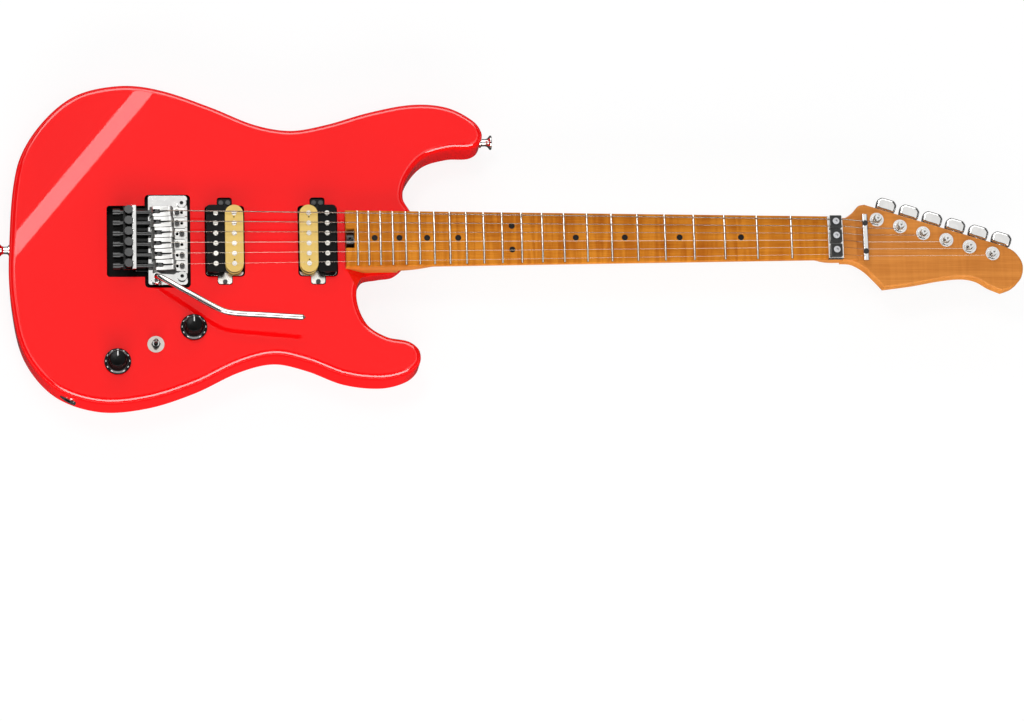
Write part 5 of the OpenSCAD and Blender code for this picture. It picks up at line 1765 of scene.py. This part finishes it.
@dataclass
class TunerButtons:
    """The tuners' winged buttons, each on its worm's stem."""

    count: int = 6
    across: float = 7.7
    z: float = 25.8
    reach: float = 17.0
    length: float = 13.0
    width: float = 20.0
    thick: float = 8.5
    half_wing: Sequence[Pair] = ((3.0, 0.1), (0.6, 1.2), (0.0, 3.4), (0.0, 8.4), (0.8, 10.2), (3.6, 12.7),
                                 (6.0, 13.0))
    wing_steps: int = 6
    round_r: float = 2.6
    round_steps: int = 6
    land: float = 0.6
    stem: float = 5.4
    stem_len: float = 9.8
    sunk: float = 1.0
    worm: float = 3.4
    worm_from: float = -5.5
    thread: float = 4.4
    thread_half: float = 4.0
    sharp: float = 50.0
    strings: Strings = field(default_factory=Strings)

    def wing(self) -> Array:
        """The wing's outline about its middle: half of it and its mirror image, as one smooth curve.

        Returns:
            The points.
        """
        side, high = np.array(self.half_wing).T
        left = np.stack([side - self.width / 2, high], 1)
        right = left[::-1] * (-1, 1)
        return curve(np.vstack([[(0.0, 0.0)], left, right]), self.wing_steps, True) - (0, self.length / 2)

    def shape(self) -> Surface:
        """The wing's outline shrunk towards its middle along quarter circles, on a stem along local Y.

        Returns:
            The button with its stem, worm and thread.
        """
        middle = np.array((self.width / 2, self.length / 2))
        t = np.linspace(-math.pi / 2, math.pi / 2, 2 * self.round_steps + 1)
        rim = [self.round_r + self.land]
        shrink = np.concatenate([rim, self.round_r * (1 - np.cos(t)), rim])
        rise = np.sign(t) * (self.thick / 2 - self.round_r) + self.round_r * np.sin(t)
        rise = np.concatenate([rise[:1], rise, rise[-1:]])
        flat = self.wing()[None] * (1 - shrink[:, None, None] / middle)
        rings = np.concatenate([flat, np.broadcast_to(rise[:, None, None], (*flat.shape[:2], 1))], -1)
        plate = Surface.loft(rings).at((0, self.reach + self.length / 2, 0))
        tip = (0, self.reach + self.sunk, 0)
        stem = Surface.rod((0, self.reach - self.stem_len, 0), tip, self.stem)
        worm = Surface.rod((0, self.worm_from, 0), tip, self.worm)
        thread = Surface.rod((0, -self.thread_half, 0), (0, self.thread_half, 0), self.thread)
        return (plate + stem + worm + thread).at((self.across, 0, self.z))

    def build(self, bench: Bench) -> Pieces:
        """Makes a button for each tuner.

        Args:
            bench: makes the objects.

        Returns:
            The buttons.
        """
        made = []
        for i in range(self.count):
            shape = self.shape().at((*self.strings.post(i), 0.0), self.strings.post_turn)
            piece = bench.level(bench.piece(f"button_{i + 1}_wing", shape, FINISHES[Slot.CHROME]), self.sharp)
            made.append(bench.stand_for(piece, f"tuner_button_{i + 1}"))
        return made


@dataclass
class Knob:
    """A black control knob with a fluted cap, a skirt and white ticks."""

    node: str
    at: Pair
    z: float = 45.8
    skirt_r: float = 13.0
    skirt_h: float = 3.0
    skirt_rim: Sequence[Pair] = ((-0.5, 0.0), (0.0, 0.4), (0.0, 1.0), (-0.5, 1.5))
    skirt_top: Sequence[Pair] = ((1.4, 0.1), (-1.0, 0.2))
    skirt_sides: int = 96
    cap_r: Pair = (9.0, 8.0)
    height: float = 15.0
    cap_foot: Sequence[Pair] = ((0.9, -0.4), (0.9, 0.3), (0.3, 0.8), (0.0, 1.4), (-0.15, 2.4))
    cap_crown: Sequence[Pair] = ((0.1, -1.6), (0.0, -0.8), (-0.3, -0.25), (-0.9, 0.0))
    middle_r: float = 0.4
    dish: float = 0.1
    flutes: int = 40
    flute_sides: int = 6
    flute_depth: float = 0.35
    fluted: tuple[int, int] = (4, 6)
    pointer: tuple[Triple, Triple] = ((-5.5, -0.45, -0.12), (-0.9, 0.45, 0.06))
    pointer_turn: float = 90.0
    ticks: int = 11
    tick: tuple[Triple, Triple] = ((-0.9, -0.3, -0.05), (0.9, 0.3, 0.08))
    tick_lean: Triple = (0.5, 0.0, 1.0)
    tick_at: Triple = (11.5, 0.0, 2.35)
    sweep: float = 300.0

    def skirt(self) -> Surface:
        """The skirt's profile turned about the shaft.

        Returns:
            The skirt.
        """
        rim = np.add((self.skirt_r, 0.0), self.skirt_rim)
        top = np.add((self.cap_r[0], self.skirt_h), self.skirt_top)
        return Surface.revolve(np.vstack([rim, top]), self.skirt_sides)

    def cap(self) -> Surface:
        """The cap's profile turned about the shaft, with flutes round it.

        Returns:
            The cap.
        """
        foot = np.add((self.cap_r[0], self.skirt_h), self.cap_foot)
        crown = np.add((self.cap_r[1], self.height), self.cap_crown)
        profile = np.vstack([foot, crown, (self.middle_r, self.height - self.dish)])
        depth = np.zeros(len(profile))
        depth[slice(*self.fluted)] = self.flute_depth
        return Surface.revolve(profile, self.flutes * self.flute_sides, self.flutes, depth)

    def marks(self) -> Surface:
        """Ticks on the sloping skirt and a pointer line on the cap's top.

        Returns:
            The marks.
        """
        lines = Surface.box(*np.add((self.cap_r[1], 0.0, self.height), self.pointer))
        tick = Surface.box(*self.tick).aimed(self.tick_lean).at(self.tick_at)
        for angle in np.linspace(-self.sweep / 2, self.sweep / 2, self.ticks):
            lines = lines + tick.at((0, 0, 0), angle)
        return lines

    def build(self, bench: Bench) -> Pieces:
        """Makes the knob and its marks on the turning body.

        Args:
            bench: makes the objects.

        Returns:
            The cap, the skirt and the marks.
        """
        place = (*self.at, self.z)
        made = []
        for part, shape, finish in (("cap", self.cap(), FINISHES[Slot.BLACK_PLASTIC]),
                                    ("skirt", self.skirt(), SKIRT_PLASTIC)):
            piece = bench.piece(f"{self.node}_{part}", shape.at(place), finish)
            made.append(bench.stand_for(piece, self.node))
        marks = bench.piece(f"{self.node}_marks", self.marks().at(place, self.pointer_turn), MARK_PAINT)
        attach(marks, bench.home[self.node])
        return [*made, marks]


@dataclass
class TremoloArm:
    """The bent arm in its collar."""

    at: Pair = (-14.5, -40.0)
    stem_z: Pair = (45.0, 61.0)
    stem: float = 6.0
    bends: Sequence = ((-14.5, -40, 59), (-14.5, -40, 63), (-10.5, -42.6, 68), (14, -58, 72), (46, -78, 79.5),
                       (57, -81.5, 80.5), (90, -84.3, 82.5), (128, -87.5, 85))
    steps: int = 14
    radius: float = 2.9
    tip: float = 2.0
    tip_least: float = 0.02
    sides: int = 32
    ref: Triple = (-0.6, -1.0, 0.0)
    sharp: float = 60.0

    def build(self, bench: Bench) -> Pieces:
        """Makes the arm as one smooth rod whose radius falls as a quarter circle at its tip.

        Args:
            bench: makes the object.

        Returns:
            The arm.
        """
        path = curve(self.bends, self.steps, False)
        left = np.linalg.norm(path[-1] - path, axis=1)
        taper = np.sqrt(np.clip(1 - np.clip(1 - left / self.tip, 0, 1) ** 2, self.tip_least, 1))
        rod = Surface.tube(path, self.radius * taper, self.sides, self.ref)
        stem = Surface.rod((*self.at, self.stem_z[0]), (*self.at, self.stem_z[1]), self.stem)
        # The arm's chrome is dimmed: painted shade.
        made = bench.piece("arm_rod", rod + stem, SHADED_ARM_CHROME, self.sharp)
        return [bench.stand_for(made, "trem_arm")]


@dataclass
class Hardware:
    """The CAD pieces that keep their shape: some with their edges eased, all with their finish."""

    eased: dict[str, tuple[Slot, float]] = field(default_factory=lambda: {
        "trem_plate": (Slot.CHROME, 0.5),
        "saddles": (Slot.CHROME, 0.35),
        "nut_base": (Slot.CHROME, 0.4),
        "nut_clamps": (Slot.BLACK_STEEL, 0.6),
        "string_retainer": (Slot.CHROME, 0.5),
        "tuner_bodies": (Slot.CHROME, 0.5),
        "black_bobbins": (Slot.BLACK_PLASTIC, 0.4),
        "cream_bobbins": (Slot.CREAM_PLASTIC, 0.5),
        "pickup_baseplates": (Slot.NICKEL, 0.25),
        "trem_block": (Slot.STEEL, 0.4),
        "spring_claw": (Slot.STEEL, 0.3),
        "spring_cover": (Slot.BLACK_PLASTIC, 0.4),
        "control_cover": (Slot.BLACK_PLASTIC, 0.4),
    })
    special: dict[str, Finish] = field(default_factory=lambda: {
        "trem_plate": TREMOLO_CHROME,
        # The saddles' chrome is dimmed: painted shade.
        "saddles": SHADED_SADDLE_CHROME,
        "pickup_baseplates": PICKUP_NICKEL,
        "wood_screws": SCREW_CHROME,
        # Painted shade: the toggle's chrome lever is coloured dark.
        "toggle_lever": SHADED_LEVER_CHROME,
        "panel_nuts": NUT_CHROME,
        "trem_studs": STUD_CHROME,
        "nut_clamp_screws": FINISHES[Slot.STEEL],
        # Painted shade: the string lock blocks are given black steel, as they look dark in their recess.
        "string_lock_blocks": FINISHES[Slot.BLACK_STEEL],
    })
    # Painted shade on the saddles' sides, for the gaps between them.
    flanks: dict[str, Finish] = field(default_factory=lambda: {"saddles": SADDLE_GAP_SHADE})
    hole_x: Pair = (60.9, 134.14)
    hole_y: float = 21.6
    hole_d: float = 1.4
    hole_deep: float = 2.0
    hole_over: float = 1.0
    hole_sides: int = 16

    def holes(self, node: str) -> list[Cutter]:
        """The small holes near the ends of each bobbin's top, their walls black as painted shade.

        Args:
            node: the bobbins' CAD node.

        Returns:
            The solids and their paint.
        """
        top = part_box(node)[1][2] / MM
        low, high = top - self.hole_deep, top + self.hole_over
        return [(Surface.rod((x, y, low), (x, y, high), self.hole_d, self.hole_sides), CAVITY_BLACK_AND_SHADE)
                for x in self.hole_x for y in (-self.hole_y, self.hole_y)]

    def build(self, bench: Bench) -> Pieces:
        """Dresses every CAD node, then stands eased copies where edges show.

        Args:
            bench: dresses the nodes and makes the copies.

        Returns:
            The copies.
        """
        for part in bench.frame["record"]["subparts"]:
            node = part["node"]
            bench.dress(node, self.special.get(node, FINISHES[Slot(part["material_slot"])]))
        holes = {"cream_bobbins": self.holes("cream_bobbins")}
        return [bench.soften(node, width, self.special.get(node, FINISHES[slot]), self.flanks.get(node),
                             holes.get(node, ()))
                for node, (slot, width) in self.eased.items()]


def main() -> None:
    """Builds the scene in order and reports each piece."""
    logging.basicConfig(level=logging.INFO)
    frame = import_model()
    bench = Bench(frame)
    for part in (Studio(), Hardware(), BodyShell(), NeckWood(), Strings(), TremoloSprings(), Leads(),
                 TunerButtons(), Knob("volume_knob", VOLUME_AT), Knob("tone_knob", TONE_AT), TremoloArm()):
        for piece in part.build(bench):
            log.info("%s made %s", type(part).__name__, piece.name)


if __name__ == "__main__":
    main()
